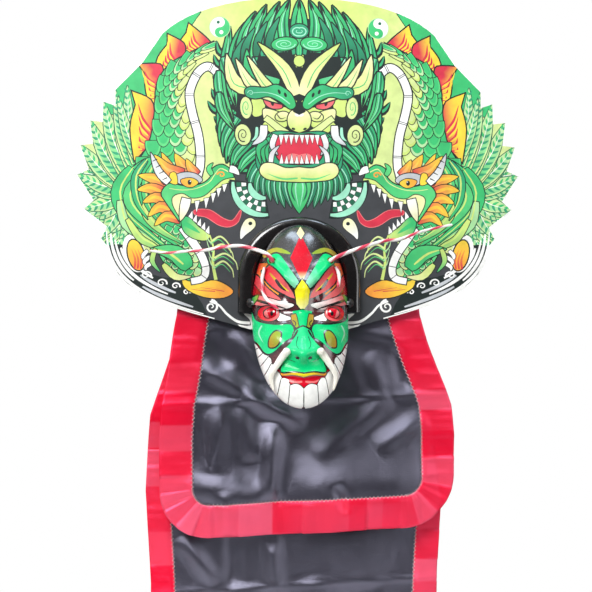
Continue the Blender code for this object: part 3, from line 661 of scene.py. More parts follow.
def draw_grounds(art):
    """Lime sky, green corner and the dark ground round the lower scenes."""
    sky = [(0, 400), (260, 400), (300, 200), (300, -50), (0, -50)]
    art.fill("lime", sky, ("pale_lime", (60, 380), (180, 330)))
    art.fill("green", [(128, 372), (200, 372), (262, 300), (252, 240), (196, 236), (178, 300)], edge=1.0)
    art.fill("ground", smooth([(0, 172), (52, 172), (92, 166), (128, 142), (150, 104), (178, 66)])
             + [(228, 50), (262, 92), (300, 90), (300, -60), (0, -60)])


def draw_wing(art):
    """Short coverts towards the hip, then long primary feathers out to the fringe."""
    root = Vector((196, 132))
    for reach, count, first, last in ((104, 13, 20, -56), (84, 11, 26, -58), (64, 9, 34, -56)):
        for i in range(count):
            degrees = first + (last - first) * (count - 1 - i) / (count - 1)
            start, tip = around(root, reach - 40, degrees + 7), around(root, reach, degrees)
            draw_feather(art, start, tip, 14, 3)
    count = 2 * len(FRINGE_TIP_DEG) - 1
    for i in range(count - 1, -1, -1):
        share = i / (count - 1)
        degrees = float(np.interp(i / 2, range(len(FRINGE_TIP_DEG)), FRINGE_TIP_DEG))
        start = Vector((212 + 20 * math.sin(math.pi * min(share, 0.6)), 172 - 46 * share))
        tip = around(FRINGE_CENTRE, FRINGE_RADIUS - (2 if i % 2 == 0 else 14), degrees)
        draw_feather(art, start, tip, 20 if i % 2 == 0 else 15, 6)
    draw_feather(art, Vector((210, 176)), Vector((222, 276)), 17, 6)
    draw_feather(art, Vector((206, 178)), Vector((234, 262)), 15, 6)


def draw_feather(art, start, tip, width, tip_size):
    """A pale feather with a darker half, a grey tip and comb strokes down its sides."""
    along = (tip - start).normalized()
    side = Vector((-along.y, along.x))
    length = (tip - start).length
    bow = side * -0.04 * length
    middle = start.lerp(tip, 0.5) + bow
    art.leaf("pale_lime", (start, middle, tip), width, 0.6, "feather", 1.1, "deep")
    shade = (start - side * width * 0.16, middle - side * width * 0.2, tip - along * 9)
    art.leaf("bright", shade, width * 0.4, 0.6, "feather", 0)
    count = max(3, int(length / 8))
    for i in range(1, count):
        share = i / count
        spot = start.lerp(tip, share) + bow * math.sin(math.pi * share)
        spread = width * 0.46 * (1.1 - 0.75 * share)
        for way, ink in ((1, "green"), (-1, "teal")):
            far = spot + side * way * spread + along * 6.5
            art.leaf(ink, (spot, spot.lerp(far, 0.5) - along * 0.8, far), width * 0.17, 0.4, edge=0)
    art.leaf("white", (start + along * 4, middle, tip - along * tip_size), 0.9, 0.9, edge=0)


def body_edges(share):
    """Left and right edge of the upper body, from its shoulder (0) down to its waist (1)."""
    left = smooth([(118, 322), (138, 306), (150, 282), (148, 256), (142, 230), (136, 206), (134, 176)], 6)
    right = smooth([(112, 334), (142, 319), (168, 304), (184, 278), (187, 240), (194, 202), (212, 174)], 6)
    spot = share * (len(left) - 1)
    i = min(int(spot), len(left) - 2)
    return left[i].lerp(left[i + 1], spot - i), right[i].lerp(right[i + 1], spot - i)


def draw_fins(art):
    """Four flame fins that stand off the body's outer edge, red at the root and yellow at the rim."""
    fins = (
        (((114, 332), (124, 342), (143, 357)), ((146, 345), (155, 332), (157, 320)),
         ((142, 320), (126, 326))),
        (((148, 318), (150, 332), (170, 343)), ((170, 330), (182, 314), (187, 294)),
         ((174, 297), (160, 309))),
        (((177, 292), (180, 304), (207, 304)), ((199, 292), (198, 270), (190, 240)),
         ((185, 256), (184, 278))),
        (((188, 238), (192, 258), (216, 269)), ((211, 252), (218, 222), (213, 180)),
         ((200, 194), (190, 218))),
    )
    for rise, fall, root in fins:
        tip, start = Vector(rise[-1]), Vector(root[-1])
        outline = smooth(rise, 4) + smooth(fall, 4) + smooth(root, 3)
        art.fill("red", outline, ("yellow", start, start.lerp(Vector(fall[1]), 0.62)), 1.8)
        for k in range(5):
            base = Vector(root[-1]).lerp(Vector(root[0]), k / 4)
            reach = tip.lerp(Vector(fall[-1]), k / 5.5)
            end = base.lerp(reach, 0.72 - 0.05 * k)
            middle = base.lerp(end, 0.5) + Vector((2.5, -2.5))
            art.leaf("red", (base, middle, end), 3.4, 0.6, "red", 0)
            art.leaf("yellow", (base + Vector((3, 0)), middle + Vector((4, 1)), end + Vector((3, 1))),
                     2.6, 0.3, "yellow", 0)


def draw_scale(art, centre, width, height, lean, inks):
    """A rounded scale that hangs down, with a light rim and a shaded root."""
    base = [(-0.5, 0.5), (-0.52, 0.1), (-0.34, -0.36), (0, -0.55), (0.34, -0.36), (0.52, 0.1), (0.5, 0.5)]
    turn = math.radians(lean)
    for size, ink, edge in ((1.0, inks[0], 1.0), (0.8, inks[1], 0)):
        outline = []
        for x, z in smooth(base, 3):
            x, z = x * width * size, z * height * size + (1 - size) * 0.42 * height
            outline.append((centre[0] + x * math.cos(turn) - z * math.sin(turn),
                            centre[1] + x * math.sin(turn) + z * math.cos(turn)))
        art.fill(ink, outline, edge=edge)


def draw_ribs(art, path, spots, shifts):
    """Thin dark strokes across a belly strip, each a shift away from one of the path's points."""
    for i in spots:
        ahead = (path[i + 1] - path[i - 1]).normalized()
        side = Vector((-ahead.y, ahead.x)) * 5
        for shift in shifts:
            spot = path[i] + ahead * shift
            art.fill("line", ribbon([spot - side, spot + side], (0.9, 0.9)))


SCALE_INKS = (("lime", "pale_lime"), ("feather", "green"), ("bright", "green"))


def draw_body(art):
    """The scaled body that rises beside the mane, its ribbed belly and the lime scales between."""
    edges = [body_edges(i / 24) for i in range(25)]
    art.fill("green", [e[0] for e in edges] + [e[1] for e in edges[::-1]], edge=1.6)
    rows = 15
    for row in range(rows, -1, -1):
        share = (row + 0.3) / (rows + 0.3)
        left, right = body_edges(share)
        across = right - left
        lean = math.degrees(math.atan2(across.y, across.x)) * 0.6
        count = 3 if share < 0.3 else 4
        pitch = across.length / (count - 0.4)
        for k in range(count):
            spot = left + across.normalized() * pitch * (k + (0.1 if row % 2 else 0.55))
            if (spot - left).length > across.length - 2:
                continue
            draw_scale(art, spot, min(pitch * 1.08, 19), 20, lean, SCALE_INKS[min(k, 2)])
    belly = ((104, 286), (108, 296), (119, 302), (131, 294), (140, 276), (142, 262), (138, 240), (131, 214),
             (128, 186), (129, 166), (128, 157))
    path = smooth(belly, 5)
    widths = [10 * min(1.0, 0.35 + i / 5, (len(path) - 1 - i) / 7 + 0.1) for i in range(len(path))]
    art.fill("white", ribbon(path, widths), edge=1.6)
    draw_ribs(art, path, range(8, len(path) - 6, 8), (-1.1, 1.1))


def draw_roundel(art, centre, radius):
    """A two-tone disc of two drops, each with an eye of the other tone."""
    art.fill("white", oval(centre, radius, radius, steps=24), edge=0.8, edge_ink="feather")
    centre = Vector(centre)
    half = radius / 2
    drop = arc(centre, radius, 90, 270, 12) + arc(centre - Vector((0, half)), half, -90, 90, 8)
    drop += arc(centre + Vector((0, half)), half, 270, 90, 8)
    art.fill("green", drop)
    art.fill("white", oval(centre - Vector((2, half)), radius * 0.2, radius * 0.2, steps=12))
    art.fill("deep", oval(centre + Vector((2, half)), radius * 0.16, radius * 0.16, steps=12))


def draw_lock(art, places, width, ink, fade_to="green", root=0.65):
    """A lock of hair with a heavy edge, a dark tip and light and dark strands."""
    base, middle, tip = (Vector(p) for p in places)
    art.leaf(ink, (base, middle, tip), width, root, fade_to, 1.9)
    art.leaf("line", (tip.lerp(middle, 0.45), tip.lerp(middle, 0.22), tip), width * 0.24, 0.2, edge=0)
    along = (tip - base).normalized()
    side = Vector((-along.y, along.x)) * width
    for share, strand, thick in ((0.24, "deep", 0.13), (0.06, "mint", 0.07), (-0.2, "line", 0.09),
                                 (-0.06, "bright", 0.08)):
        art.leaf(strand, (base + side * share, middle + side * share, tip.lerp(middle, 0.3)),
                 width * thick, 0.4, edge=0)


def draw_mane(art):
    """Dark-tipped locks that rise off the brow and fall past the ears."""
    cloud = [(0, 366), (56, 358), (88, 334), (100, 300), (100, 240), (90, 198), (66, 170), (34, 156),
             (0, 150)]
    art.fill("line", smooth(cloud, 5) + [Vector((0, 260))])
    spikes = (
        ((92, 316), (104, 322), (107, 336), 9), ((94, 302), (106, 306), (111, 318), 9),
        ((94, 284), (106, 284), (112, 292), 9), ((94, 262), (108, 262), (114, 274), 9),
        ((94, 244), (110, 246), (119, 258), 10), ((92, 228), (104, 230), (111, 238), 8),
        ((90, 214), (102, 216), (109, 226), 8), ((88, 202), (98, 202), (105, 211), 8),
        ((84, 190), (94, 190), (101, 199), 8), ((74, 178), (84, 177), (94, 184), 8),
        ((64, 168), (76, 168), (86, 175), 8),
    )
    for *places, width in spikes:
        art.leaf("line", places, width + 2, 0.8, edge=0)
        art.leaf("green", places, width * 0.42, 0.5, "teal", 0)
    falls = (
        ((96, 300), (104, 270), (98, 236), 12), ((90, 262), (100, 244), (104, 214), 14),
        ((86, 246), (98, 226), (102, 200), 14), ((80, 236), (94, 212), (98, 186), 14),
        ((72, 226), (88, 200), (94, 178), 14), ((62, 208), (80, 190), (88, 170), 13),
        ((52, 196), (70, 180), (80, 163), 12), ((42, 186), (58, 172), (68, 156), 11),
    )
    for i, (*places, width) in enumerate(falls):
        draw_lock(art, places, width, ("mane", "teal")[i % 2])
    crests = (
        ((98, 288), (94, 318), (90, 353), 13), ((88, 298), (80, 334), (67, 362), 14),
        ((78, 304), (70, 344), (57, 373), 16), ((62, 310), (56, 350), (43, 382), 18),
        ((42, 316), (40, 352), (26, 386), 20), ((20, 322), (24, 358), (13, 389), 20),
        ((0, 316), (0, 360), (0, 390), 22),
    )
    for i, (*places, width) in enumerate(crests):
        draw_lock(art, places, width, ("teal", "mane")[i % 2])
    for i, (x, z) in enumerate(((78, 318), (66, 330), (50, 338), (34, 344))):
        art.leaf("deep", ((x + 6, z - 22), (x + 3, z), (x - 8, z + 22)), 9, 0.4, "teal", 1.6)
    art.fill("teal", oval((0, 349), 12, 9), edge=1.6)
    art.fill("mint", spiral((2, 349), 9, 1.6, 1.8, 200, 0.8))
    long_locks = (((98, 314), (90, 288), (82, 250), 17), ((104, 296), (101, 268), (86, 232), 14),
                  ((104, 268), (100, 246), (84, 220), 12))
    for *places, width in long_locks:
        draw_lock(art, places, width, "mane", "bright", 0.1)


def draw_brow(art):
    """Forehead spiral, cream and lime locks, and the heavy green eyebrow."""
    art.fill("line", [(0, 300), (7, 288), (11, 262), (8, 244), (0, 240)])
    art.fill("green", oval((19, 332), 17, 8.5, -6, 24), edge=1.4)
    art.fill("mint", spiral((19, 332), 14, 2.1, 1.5, 180, 0.48))
    art.fill("line", [(3, 320), (30, 312), (56, 336), (40, 318), (18, 300), (4, 292)])
    art.leaf("lime", ((0, 303), (2, 310), (5, 318)), 9, 0.9)
    art.fill("lime", oval((0, 310), 7, 7), edge=1.2)
    locks = (
        ("teal", ((36, 281), (64, 296), (68, 324)), 14, "green"),
        ("lime", ((46, 272), (83, 281), (94, 318)), 19, "cream"),
        ("pale_lime", ((10, 258), (58, 275), (82, 312)), 15, "cream"),
        ("green", ((26, 283), (50, 290), (60, 314)), 9, "mint"),
        ("lime", ((5, 254), (40, 275), (67, 315)), 14, "cream"),
        ("deep", ((8, 278), (24, 306), (44, 322)), 8, "green"),
        ("cream", ((4, 266), (20, 300), (53, 333)), 17, "lime"),
    )
    for ink, places, width, fade in locks:
        art.leaf(ink, places, width, 0.45, fade, 1.9)
        inner = [Vector(p) + Vector((1.5, -1)) for p in places]
        strand = (inner[0].lerp(inner[1], 0.3), inner[1], inner[2].lerp(inner[1], 0.25))
        art.leaf("green", strand, 1.4, 0.4, edge=0)
    brow = ((5, 252), (12, 248), (24, 257), (40, 264), (56, 261), (68, 264), (70, 272), (62, 276),
            (44, 275), (30, 279), (16, 272), (8, 263))
    art.shape("green", brow, ("teal", (10, 250), (66, 272)), 1.6)
    art.line("mint", ((12, 254), (26, 264), (44, 269), (62, 268)), 1.6, 0.6)
    for place in ((18, 266), (26, 270)):
        art.fill("line", oval(place, 1.8, 3.4, -20, 8))
    art.fill("mint", spiral((63, 268), 4, 1.2, 1.0, 0))


def draw_face(art):
    """Eye, nose, cheek, the roaring mouth with its teeth, and the ear knobs."""
    art.fill("line", smooth([(0, 246), (14, 250), (48, 262), (66, 262), (64, 232), (58, 200), (36, 168),
                             (0, 160)]))
    art.shape("lime", [(45, 262), (60, 262), (62, 250), (59, 238), (47, 242)], edge=1.4)
    art.shape("lime", [(8, 244), (20, 250), (34, 246), (22, 240)], edge=1)
    eye = ((22, 250), (28, 259), (38, 264), (46, 262), (43, 253), (33, 248))
    art.shape("red", eye, ("pink", (30, 262), (40, 248)), 1.4)
    art.fill("line", oval((35, 256), 2.2, 4.6, -12, 10))
    art.fill("white", oval((32, 259.5), 1.4, 1.0, 0, 8))
    cheek = ((20, 240), (44, 248), (47, 240), (42, 230), (26, 224), (16, 226))
    art.shape("lime", cheek, ("cream", (20, 230), (46, 244)), 1.4)
    art.leaf("pale_lime", ((44, 236), (26, 222), (9, 216)), 9, 0.7)
    art.leaf("lime", ((46, 229), (28, 214), (12, 211)), 6, 0.7)
    art.fill("lime", oval((22, 238), 9, 6, -12, 18), ("cream", (22, 230), (22, 242)), 1.4)
    art.leaf("line", ((29, 241), (24, 235), (17, 237)), 1.4, 0.4, edge=0)
    art.fill("lime", smooth([(0, 247), (10, 245), (15, 235), (12, 223), (0, 217)], 4),
             ("cream", (2, 222), (2, 240)), 1.5)
    art.fill("white", oval((3, 240), 3.2, 2.0, 20, 12))
    art.fill("line", oval((7.5, 222), 2.6, 1.5, 20, 10))
    art.fill("teal", smooth([(0, 216), (32, 218), (50, 204), (56, 184), (50, 166), (24, 156), (0, 154)],
                            4), edge=1.4)
    for k in range(3):
        lock = ((34 + 4 * k, 214 - 4 * k), (43 + 5 * k, 196), (36 + 7 * k, 170 + 3 * k))
        art.leaf("mane", lock, 6, 0.5, "green", 1.3)
    mouth = smooth([(0, 213), (14, 215), (27, 211), (31, 200), (29, 186), (20, 178), (0, 176)], 4)
    art.fill("red", mouth, edge=1.6)
    art.fill("pink", smooth([(0, 188), (10, 190), (18, 184), (0, 178)], 3))
    for i in range(4):
        x = 3.4 + 6.6 * i
        art.fill("white", [(x - 3, 214), (x + 3, 214), (x + 0.6, 203 - (i % 2) * 2)], edge=0.7)
        art.fill("white", [(x - 2.6, 177), (x + 2.6, 177), (x - 0.4, 187 + (i % 2) * 2)], edge=0.7)
    art.leaf("white", ((31, 214), (35, 200), (28, 188)), 7, 0.8, "silver")
    art.leaf("white", ((37, 178), (35, 190), (26, 200)), 6, 0.8, "silver")
    art.leaf("white", ((46, 226), (48, 211), (61, 201)), 9.5, 0.8, "silver", 1.3)
    art.leaf("mint", ((55, 224), (56, 212), (62, 206)), 4, 0.5)
    art.fill("pale_lime", oval((69, 249), 7.5, 14, -4, 20), edge=1.5)
    art.fill("green", spiral((69, 250), 5.4, 1.4, 1.4, 250, 1.9))
    art.fill("pale_lime", oval((73, 214), 10, 13.5, -10, 20), edge=1.5)
    art.fill("line", spiral((73, 214), 7.2, 1.6, 1.6, 250, 1.3))
    lip = [(0, 172), (18, 171), (34, 177), (47, 176), (51, 166), (42, 157), (22, 154), (0, 153)]
    art.fill("lime", smooth(lip, 4), ("cream", (20, 156), (20, 172)), 1.5)
    art.leaf("bright", ((2, 158), (22, 157), (42, 164)), 2.4, 0.6, edge=0)


def draw_beard(art):
    """Swept locks under the chin round one hanging leaf."""
    for i in range(7):
        base = (46 - 5.2 * i, 182 - 4 * (i % 2) - i)
        tip = (64 - 9 * i, 142 - 4.5 * min(i, 5))
        middle = (Vector(base) + Vector(tip)) / 2 + Vector((5, -2))
        ink = ("teal", "green")[i % 2]
        art.leaf(ink, (base, middle, tip), 12, 0.7, "deep")
        art.leaf("mint", (Vector(base), middle + Vector((1, 1)), Vector(tip)), 1.4, 0.4, edge=0)
    art.fill("green", smooth([(0, 168), (11, 160), (15, 146), (9, 126), (0, 112)], 4),
             ("bright", (0, 112), (0, 166)), 1.3)
    art.leaf("mint", ((0, 164), (5, 146), (1, 120)), 2, edge=0)
    for i in range(3):
        art.leaf("deep", ((5 + 2 * i, 160 - 4 * i), (10, 144 - 3 * i), (4 + i, 126 + i)), 1.4, edge=0)


def draw_crescents(art):
    """A chequered crescent and a white drop beside the head, and the palm swirls below."""
    centre = (46, 150)
    art.fill("line", arc(centre, 45, -100, 8, 18) + arc(centre, 14, 8, -100, 10))
    for reach, ink in ((40, "mint"), (18, "mint")):
        path = arc(centre, reach, -98, 4, 16)
        art.fill(ink, ribbon(path, [7 * math.sin(math.pi * (i + 1.5) / 19) + 1.5 for i in range(17)]))
    for ring, reach in enumerate((32.5, 26)):
        for i in range(9):
            start, end = -94 + 11 * i, -84 + 11 * i
            ink = "white" if (i + ring) % 2 else "deep"
            art.fill(ink, arc(centre, reach + 3, start, end, 2) + arc(centre, reach - 3, end, start, 2))
    drop = [(57, 96), (58, 103), (64, 106), (71, 102), (76, 91), (76, 79), (70, 84), (62, 90)]
    art.shape("cream", drop, ("white", (60, 104), (74, 84)), 1.0)
    art.fill("line", oval((63.5, 99), 2.6, 2.4, steps=10))
    art.line("lime", ((108, 26), (112, 48), (111, 66), (116, 84)), 4.4, 1.6)
    for i, (x, z, reach) in enumerate(((113, 76, 24), (112, 66, 27), (110, 54, 30), (109, 44, 24))):
        arch = [(x, z), (x - reach * 0.45, z + 6), (x - reach * 0.9, z - 4), (x - reach, z - 15)]
        art.line("pale_lime", arch, 3.0, 0.8)
        art.line("bright", [(px + 2, pz - 4) for px, pz in arch[:3]], 1.8, 0.4)
        art.line("feather", ((x, z - 3), (x + 5, z + 2), (x + 8, z + 12)), 2.2, 0.5)


def draw_lower_body(art):
    """The lower bend of the body: belly strip, scales, leaf-shaped legs and long crescents."""
    neck = ((150, 160), (186, 184), (214, 172), (231, 148), (216, 112), (176, 88), (150, 98))
    art.shape("green", neck, edge=1.2)
    bend = ((146, 92), (168, 92), (184, 76), (176, 50), (150, 28), (126, 26), (124, 48), (136, 70))
    art.shape("bright", bend, edge=1.4)
    for row in range(7):
        for k in range(4):
            spot = (132 + 11 * k + 5 * (row % 2) + 0.8 * row, 36 + 9 * row)
            if spot[0] < 178:
                draw_scale(art, spot, 10, 11, 28, ("feather", "green") if k else ("pale_lime", "feather"))
    long_runs = (
        ((216, 170), (233, 138), (216, 102), (150, 50), 20, "green"),
        ((205, 160), (220, 134), (204, 106), (152, 66), 15, "bright"),
        ((196, 128), (198, 112), (182, 92), (150, 72), 11, "lime"),
        ((232, 128), (224, 98), (196, 78), (160, 52), 12, "feather"),
        ((222, 104), (206, 80), (186, 68), (158, 44), 9, "lime"),
        ((198, 180), (212, 158), (210, 128), (196, 104), 9, "teal"),
        ((188, 176), (199, 152), (197, 124), (180, 98), 8, "bright"),
    )
    for *places, width, ink in long_runs:
        art.leaf(ink, places, width, 0.3, "green")
        inner = [Vector(p) + Vector((-1.5, 1.5)) for p in places]
        art.leaf("lime", inner, 2.2, 0.2, edge=0)
    art.leaf("green", ((143, 41), (160, 60), (192, 66)), 22, 0.3, "bright", 1.3)
    art.leaf("lime", ((150, 46), (168, 60), (188, 66)), 3, edge=0)
    art.leaf("lime", ((186, 66), (190, 50), (180, 36)), 6, 0.5, "green")
    art.leaf("lime", ((176, 46), (160, 30), (140, 30)), 9, 0.3, "cream")
    strip = smooth([(151, 94), (140, 78), (127, 58), (121, 40), (125, 28), (140, 24)], 5)
    art.fill("white", ribbon(strip, [11 - 0.12 * i for i in range(len(strip))]), edge=1.3)
    draw_ribs(art, strip, range(4, len(strip) - 3, 5), (0,))


def draw_waves(art):
    """Foam along the lower right edge: white swells that follow the rim, a claw, a leaf and a scroll."""
    sea = [(146, 22), (180, 30), (204, 40), (218, 62), (234, 72), (262, 60), (256, 10), (200, -30),
           (120, -30)]
    art.shape("line", sea)
    rim = bezier(((252, 88), (250, 14), (190, -4), PANEL_FOOT), 36)
    for i, (start, end) in enumerate(((0, 35), (1, 17), (19, 33), (3, 27), (6, 16), (17, 29), (9, 22))):
        depth = (3.4, 9, 9, 14.5, 20, 20, 25.5)[i]
        swell = [p + (Vector((160, 120)) - p).normalized() * depth for p in rim[start:end]]
        count = len(swell)
        widths = [4.2 * math.sin(math.pi * (k + 1.5) / (count + 2)) ** 0.6 for k in range(count)]
        art.fill("silver" if i % 3 == 2 else "white", ribbon(swell, widths))
    for x, z, size in ((178, 22, 7), (160, 18, 6), (198, 32, 7), (218, 52, 5), (146, 10, 5)):
        art.fill("white", spiral((x, z), size, 1.3, 2.2, 200, 0.8, -1))
    art.shape("orange", [(86, 12), (108, 25), (132, 22), (150, 32), (148, 16), (124, 4), (98, 3)],
              ("yellow", (96, 4), (130, 26)), 1.5)
    for i in range(4):
        vein = ((91 + 6 * i, 11), (108 + 6 * i, 15 - i), (122 + 6 * i, 17 - i))
        art.line("red" if i % 2 else "orange", vein, 1.2, 0.4)
    art.fill("white", oval((213, 60), 14, 25, -16, 24))
    art.fill("yellow", oval((211, 58), 10, 20, -14, 20), ("orange", (211, 78), (208, 40)), 1.8)
    for i in range(3):
        art.leaf("red", ((205 + 4 * i, 40), (204 + 4 * i, 52), (209 + 4 * i, 66)), 3, 0.4, "orange", 0)
    art.fill("white", oval((202, 77), 5.5, 5, 0, 14), edge=1.2)
    for i in range(3):
        drip = ((196 - 3 * i, 64 - 8 * i), (202 - 2 * i, 57 - 7 * i), (200 - i, 50 - 6 * i))
        art.leaf("white", drip, 5, 0.6, edge=0.8)
    art.line("white", ((64, -30), (80, -28), (94, -18), (104, -7), (116, -2)), 3.8, 2.2)
    art.fill("white", spiral((114, -9), 9, 1.5, 3.2, 90))
    art.leaf("white", ((58, -38), (61, -24), (72, -18)), 8, 0.6, edge=0)
    art.leaf("white", ((58, -34), (68, -36), (80, -32)), 5, 0.6, edge=0)


def draw_flame(art, places, width, heart, heart_width, heart_root, rise=0):
    """A red flame with a yellow tip and a small heart of another ink, whose middle is raised."""
    base, middle, tip = (Vector(p) for p in places)
    art.leaf("red", places, width, 0.8, "yellow", 1.1)
    inner = (base, middle + Vector((0, rise)), tip.lerp(middle, 0.4))
    art.leaf(heart, inner, heart_width, heart_root, "yellow", 0)


def draw_side_head(art):
    """The side dragon's head, jaws open towards the middle."""
    flames = (
        ((166, 148), (186, 156), (208, 161), 15), ((170, 152), (180, 170), (190, 186), 14),
        ((174, 138), (192, 144), (209, 142), 14), ((170, 126), (186, 132), (202, 126), 14),
        ((162, 114), (180, 120), (195, 108), 14), ((154, 104), (172, 108), (187, 96), 13),
        ((160, 160), (168, 172), (178, 190), 12),
    )
    for *places, width in flames:
        draw_flame(art, places, width, "orange", width * 0.3, 0.4, 1)
    ears = (
        ((138, 164), (150, 172), (161, 189), 17), ((150, 162), (170, 168), (187, 187), 17),
        ((132, 162), (140, 170), (146, 182), 12),
    )
    for *places, width in ears:
        draw_flame(art, places, width, "pink", 4, 0.5)
    mouth = [(84, 160), (104, 150), (122, 134), (142, 126), (152, 104), (136, 84), (118, 78), (84, 80),
             (56, 106)]
    art.shape("ground", mouth)
    tongue = ((135, 116), (116, 116), (98, 105), (86, 103), (76, 116), (79, 102), (90, 95), (104, 97),
              (120, 107), (134, 110))
    art.shape("red", tongue, edge=0.9, edge_ink="pink")
    lower = ((152, 106), (142, 106), (130, 94), (116, 84), (122, 77), (138, 80), (150, 90))
    art.shape("lime", lower, ("green", (120, 80), (150, 96)), 1.2)
    art.leaf("green", ((150, 100), (140, 94), (128, 86)), 6, 0.7, edge=0)
    for i in range(5):
        x, z = 119 + 5.4 * i, 88 + 4.8 * i
        art.fill("white", [(x - 2.6, z - 3), (x + 2.8, z + 0.6), (x - 2.2, z + 8)], edge=0.7)
    band_edge = [(88, 168), (100, 175), (112, 170), (114, 160), (122, 152), (134, 148), (150, 147),
                 (168, 150), (178, 138), (172, 126), (156, 103)]
    inner_edge = [(153, 109), (160, 122), (160, 134), (150, 136), (138, 129), (122, 132), (108, 144),
                  (96, 153), (84, 156)]
    art.fill("green", smooth(band_edge, 4) + smooth(inner_edge, 4), ("bright", (90, 170), (170, 120)), 1.5)
    cheek = smooth([(155, 107), (163, 122), (163, 133), (151, 137), (139, 131), (123, 134), (109, 146),
                    (98, 155), (84, 158)], 4)
    low = smooth([(83, 154), (97, 150), (108, 142), (121, 130), (139, 125), (152, 128), (152, 118)], 4)
    art.fill("lime", cheek + low, ("cream", (90, 154), (160, 124)), 1.1)
    art.line("pale_lime", ((92, 166), (102, 170), (109, 163), (117, 152), (134, 144), (152, 142),
                           (168, 144)), 1.5, 0.8)
    fangs = ((88, 153), (96.5, 149), (104, 144), (111, 137.5), (120, 131), (132, 127.5))
    for i, (x, z) in enumerate(fangs):
        art.fill("white", [(x - 3, z + 1), (x + 3.2, z), (x + 1, z - 9 - i)], edge=0.8)
    art.leaf("white", ((146, 131), (149, 118), (154, 102)), 12, 0.9, "cream", 1.3)
    art.leaf("white", ((90, 170), (84, 168), (78, 162)), 9, 0.8, edge=1)
    art.fill("orange", spiral((101, 162), 5.4, 1.2, 2.4, 0, 0.8))
    art.leaf("bright", ((113, 162), (117, 170), (112, 177)), 6, 0.6)
    art.shape("silver", [(126, 154), (132, 162), (146, 165), (160, 161), (158, 152), (142, 148)],
              edge=1.2)
    art.shape("yellow", [(131, 152), (140, 157.5), (153, 155), (149, 148), (139, 146)],
              ("orange", (132, 156), (152, 147)), 1.1)
    art.fill("line", oval((142, 152), 2.6, 3.4, 0, 10))
    art.fill("white", oval((141, 153.4), 0.9, 0.9, 0, 6))
    art.shape("yellow", ((158, 150), (160, 164), (167, 163), (167, 152)), edge=1, steps=3)
    art.leaf("white", ((169, 152), (182, 166), (192, 190)), 10, 0.7, "silver", 1.3)
    for i in range(4):
        spot = Vector((174 + 4.2 * i, 156 + 8 * i))
        art.fill("line", ribbon([spot + Vector((-3, 2)), spot + Vector((3, -1))], (1.6, 0.8)))


def draw_border(art):
    """A pale cut margin that follows the crest's edge."""
    edge = [p for p in crest_outline() if p.x > 0.5 and p.y > PANEL_BOTTOM[1] + 0.5]
    art.fill("white", ribbon(edge, [3.2] * len(edge)))


def crest_art():
    """The whole print, from its grounds to its border."""
    art = Drawing()
    for draw in (draw_grounds, draw_wing, draw_fins, draw_body, draw_mane, draw_beard, draw_face, draw_brow,
                 draw_waves, draw_lower_body, draw_side_head, draw_crescents, draw_border):
        draw(art)
    draw_roundel(art, (103, 353), 13)
    return art


HAND_HOLE_RADIUS, HAND_HOLE_LOW = 44, 33


def make_crest():
    """The printed sheet, with the hand hole behind the head."""
    hole = arc((0, HAND_HOLE_LOW), HAND_HOLE_RADIUS, 90, 0, 12) + [Vector((0, HAND_HOLE_LOW))]
    points, triangles, colours = triangulate(crest_art(), crest_outline(), [hole])
    mesh = mirrored_mesh("crest_print", points, triangles, colours, lambda x, z: (x, SHEET_FRONT_Y, z))
    close_back(mesh, SHEET_THICK, 1)
    materials = [MATERIALS["print"], MATERIALS["paper"]]
    add_piece("crest_print", mesh, materials, "head_and_panel", ["crest_face_sheet"])


# Carved head


HEAD_TOP, HEAD_BOTTOM = 97, -134
HEAD_MIDDLE, HEAD_HALF_HEIGHT = (HEAD_TOP + HEAD_BOTTOM) / 2, (HEAD_TOP - HEAD_BOTTOM) / 2
HEAD_HALF_WIDTH, HEAD_ROUNDNESS, HEAD_WALL = 62, 2.1, 7
HEAD_DEPTHS = ((97, 40), (60, 47), (25, 59), (-40, 55), (-90, 50), (-134, 38))
RIM_Y, MOUTH_CORNER_Z, MOUTH_TIP_Y = -16.6, -15, -97
EYE_PLACE, EYE_HALF, SOCKET_PLACE = (38, -17), (11, 6.6, 8), (37, 50)
HEAD_END_DEG, HEAD_TURN_STEP, HEAD_DOWN_STEP, HEAD_RIM_STEP = 3.5, 2.1, 1.3, 1.5
PAINT_STEP = 3.0


def table_value(table, z):
    """Linear value from (height, value) pairs that run downwards."""
    return float(np.interp(z, [row[0] for row in table[::-1]], [row[1] for row in table[::-1]]))


def egg_share(z):
    """The share of its full width that the head has at a height."""
    t = min(abs(z - HEAD_MIDDLE) / HEAD_HALF_HEIGHT, 1.0)
    return (1 - t**HEAD_ROUNDNESS) ** (1 / HEAD_ROUNDNESS)


def rim_y(z):
    """Depth of the shell's rim, which slants forward below the corner of the mouth."""
    if z >= MOUTH_CORNER_Z:
        return RIM_Y
    return RIM_Y + (MOUTH_CORNER_Z - z) / (MOUTH_CORNER_Z - HEAD_BOTTOM) * (MOUTH_TIP_Y - RIM_Y)


def mound(x, z, place, radius, height):
    """A soft round hill (or hollow) of the carving."""
    return height * math.exp(-2 * ((x - place[0]) ** 2 + (z - place[1]) ** 2) / radius**2)


def ridge(x, z, start, end, radius, height):
    """A soft hill along a line."""
    a, b, p = Vector(start), Vector(end), Vector((x, z))
    along = max(0.0, min(1.0, (p - a).dot(b - a) / (b - a).length_squared))
    return mound(x, z, a + (b - a) * along, radius, height)


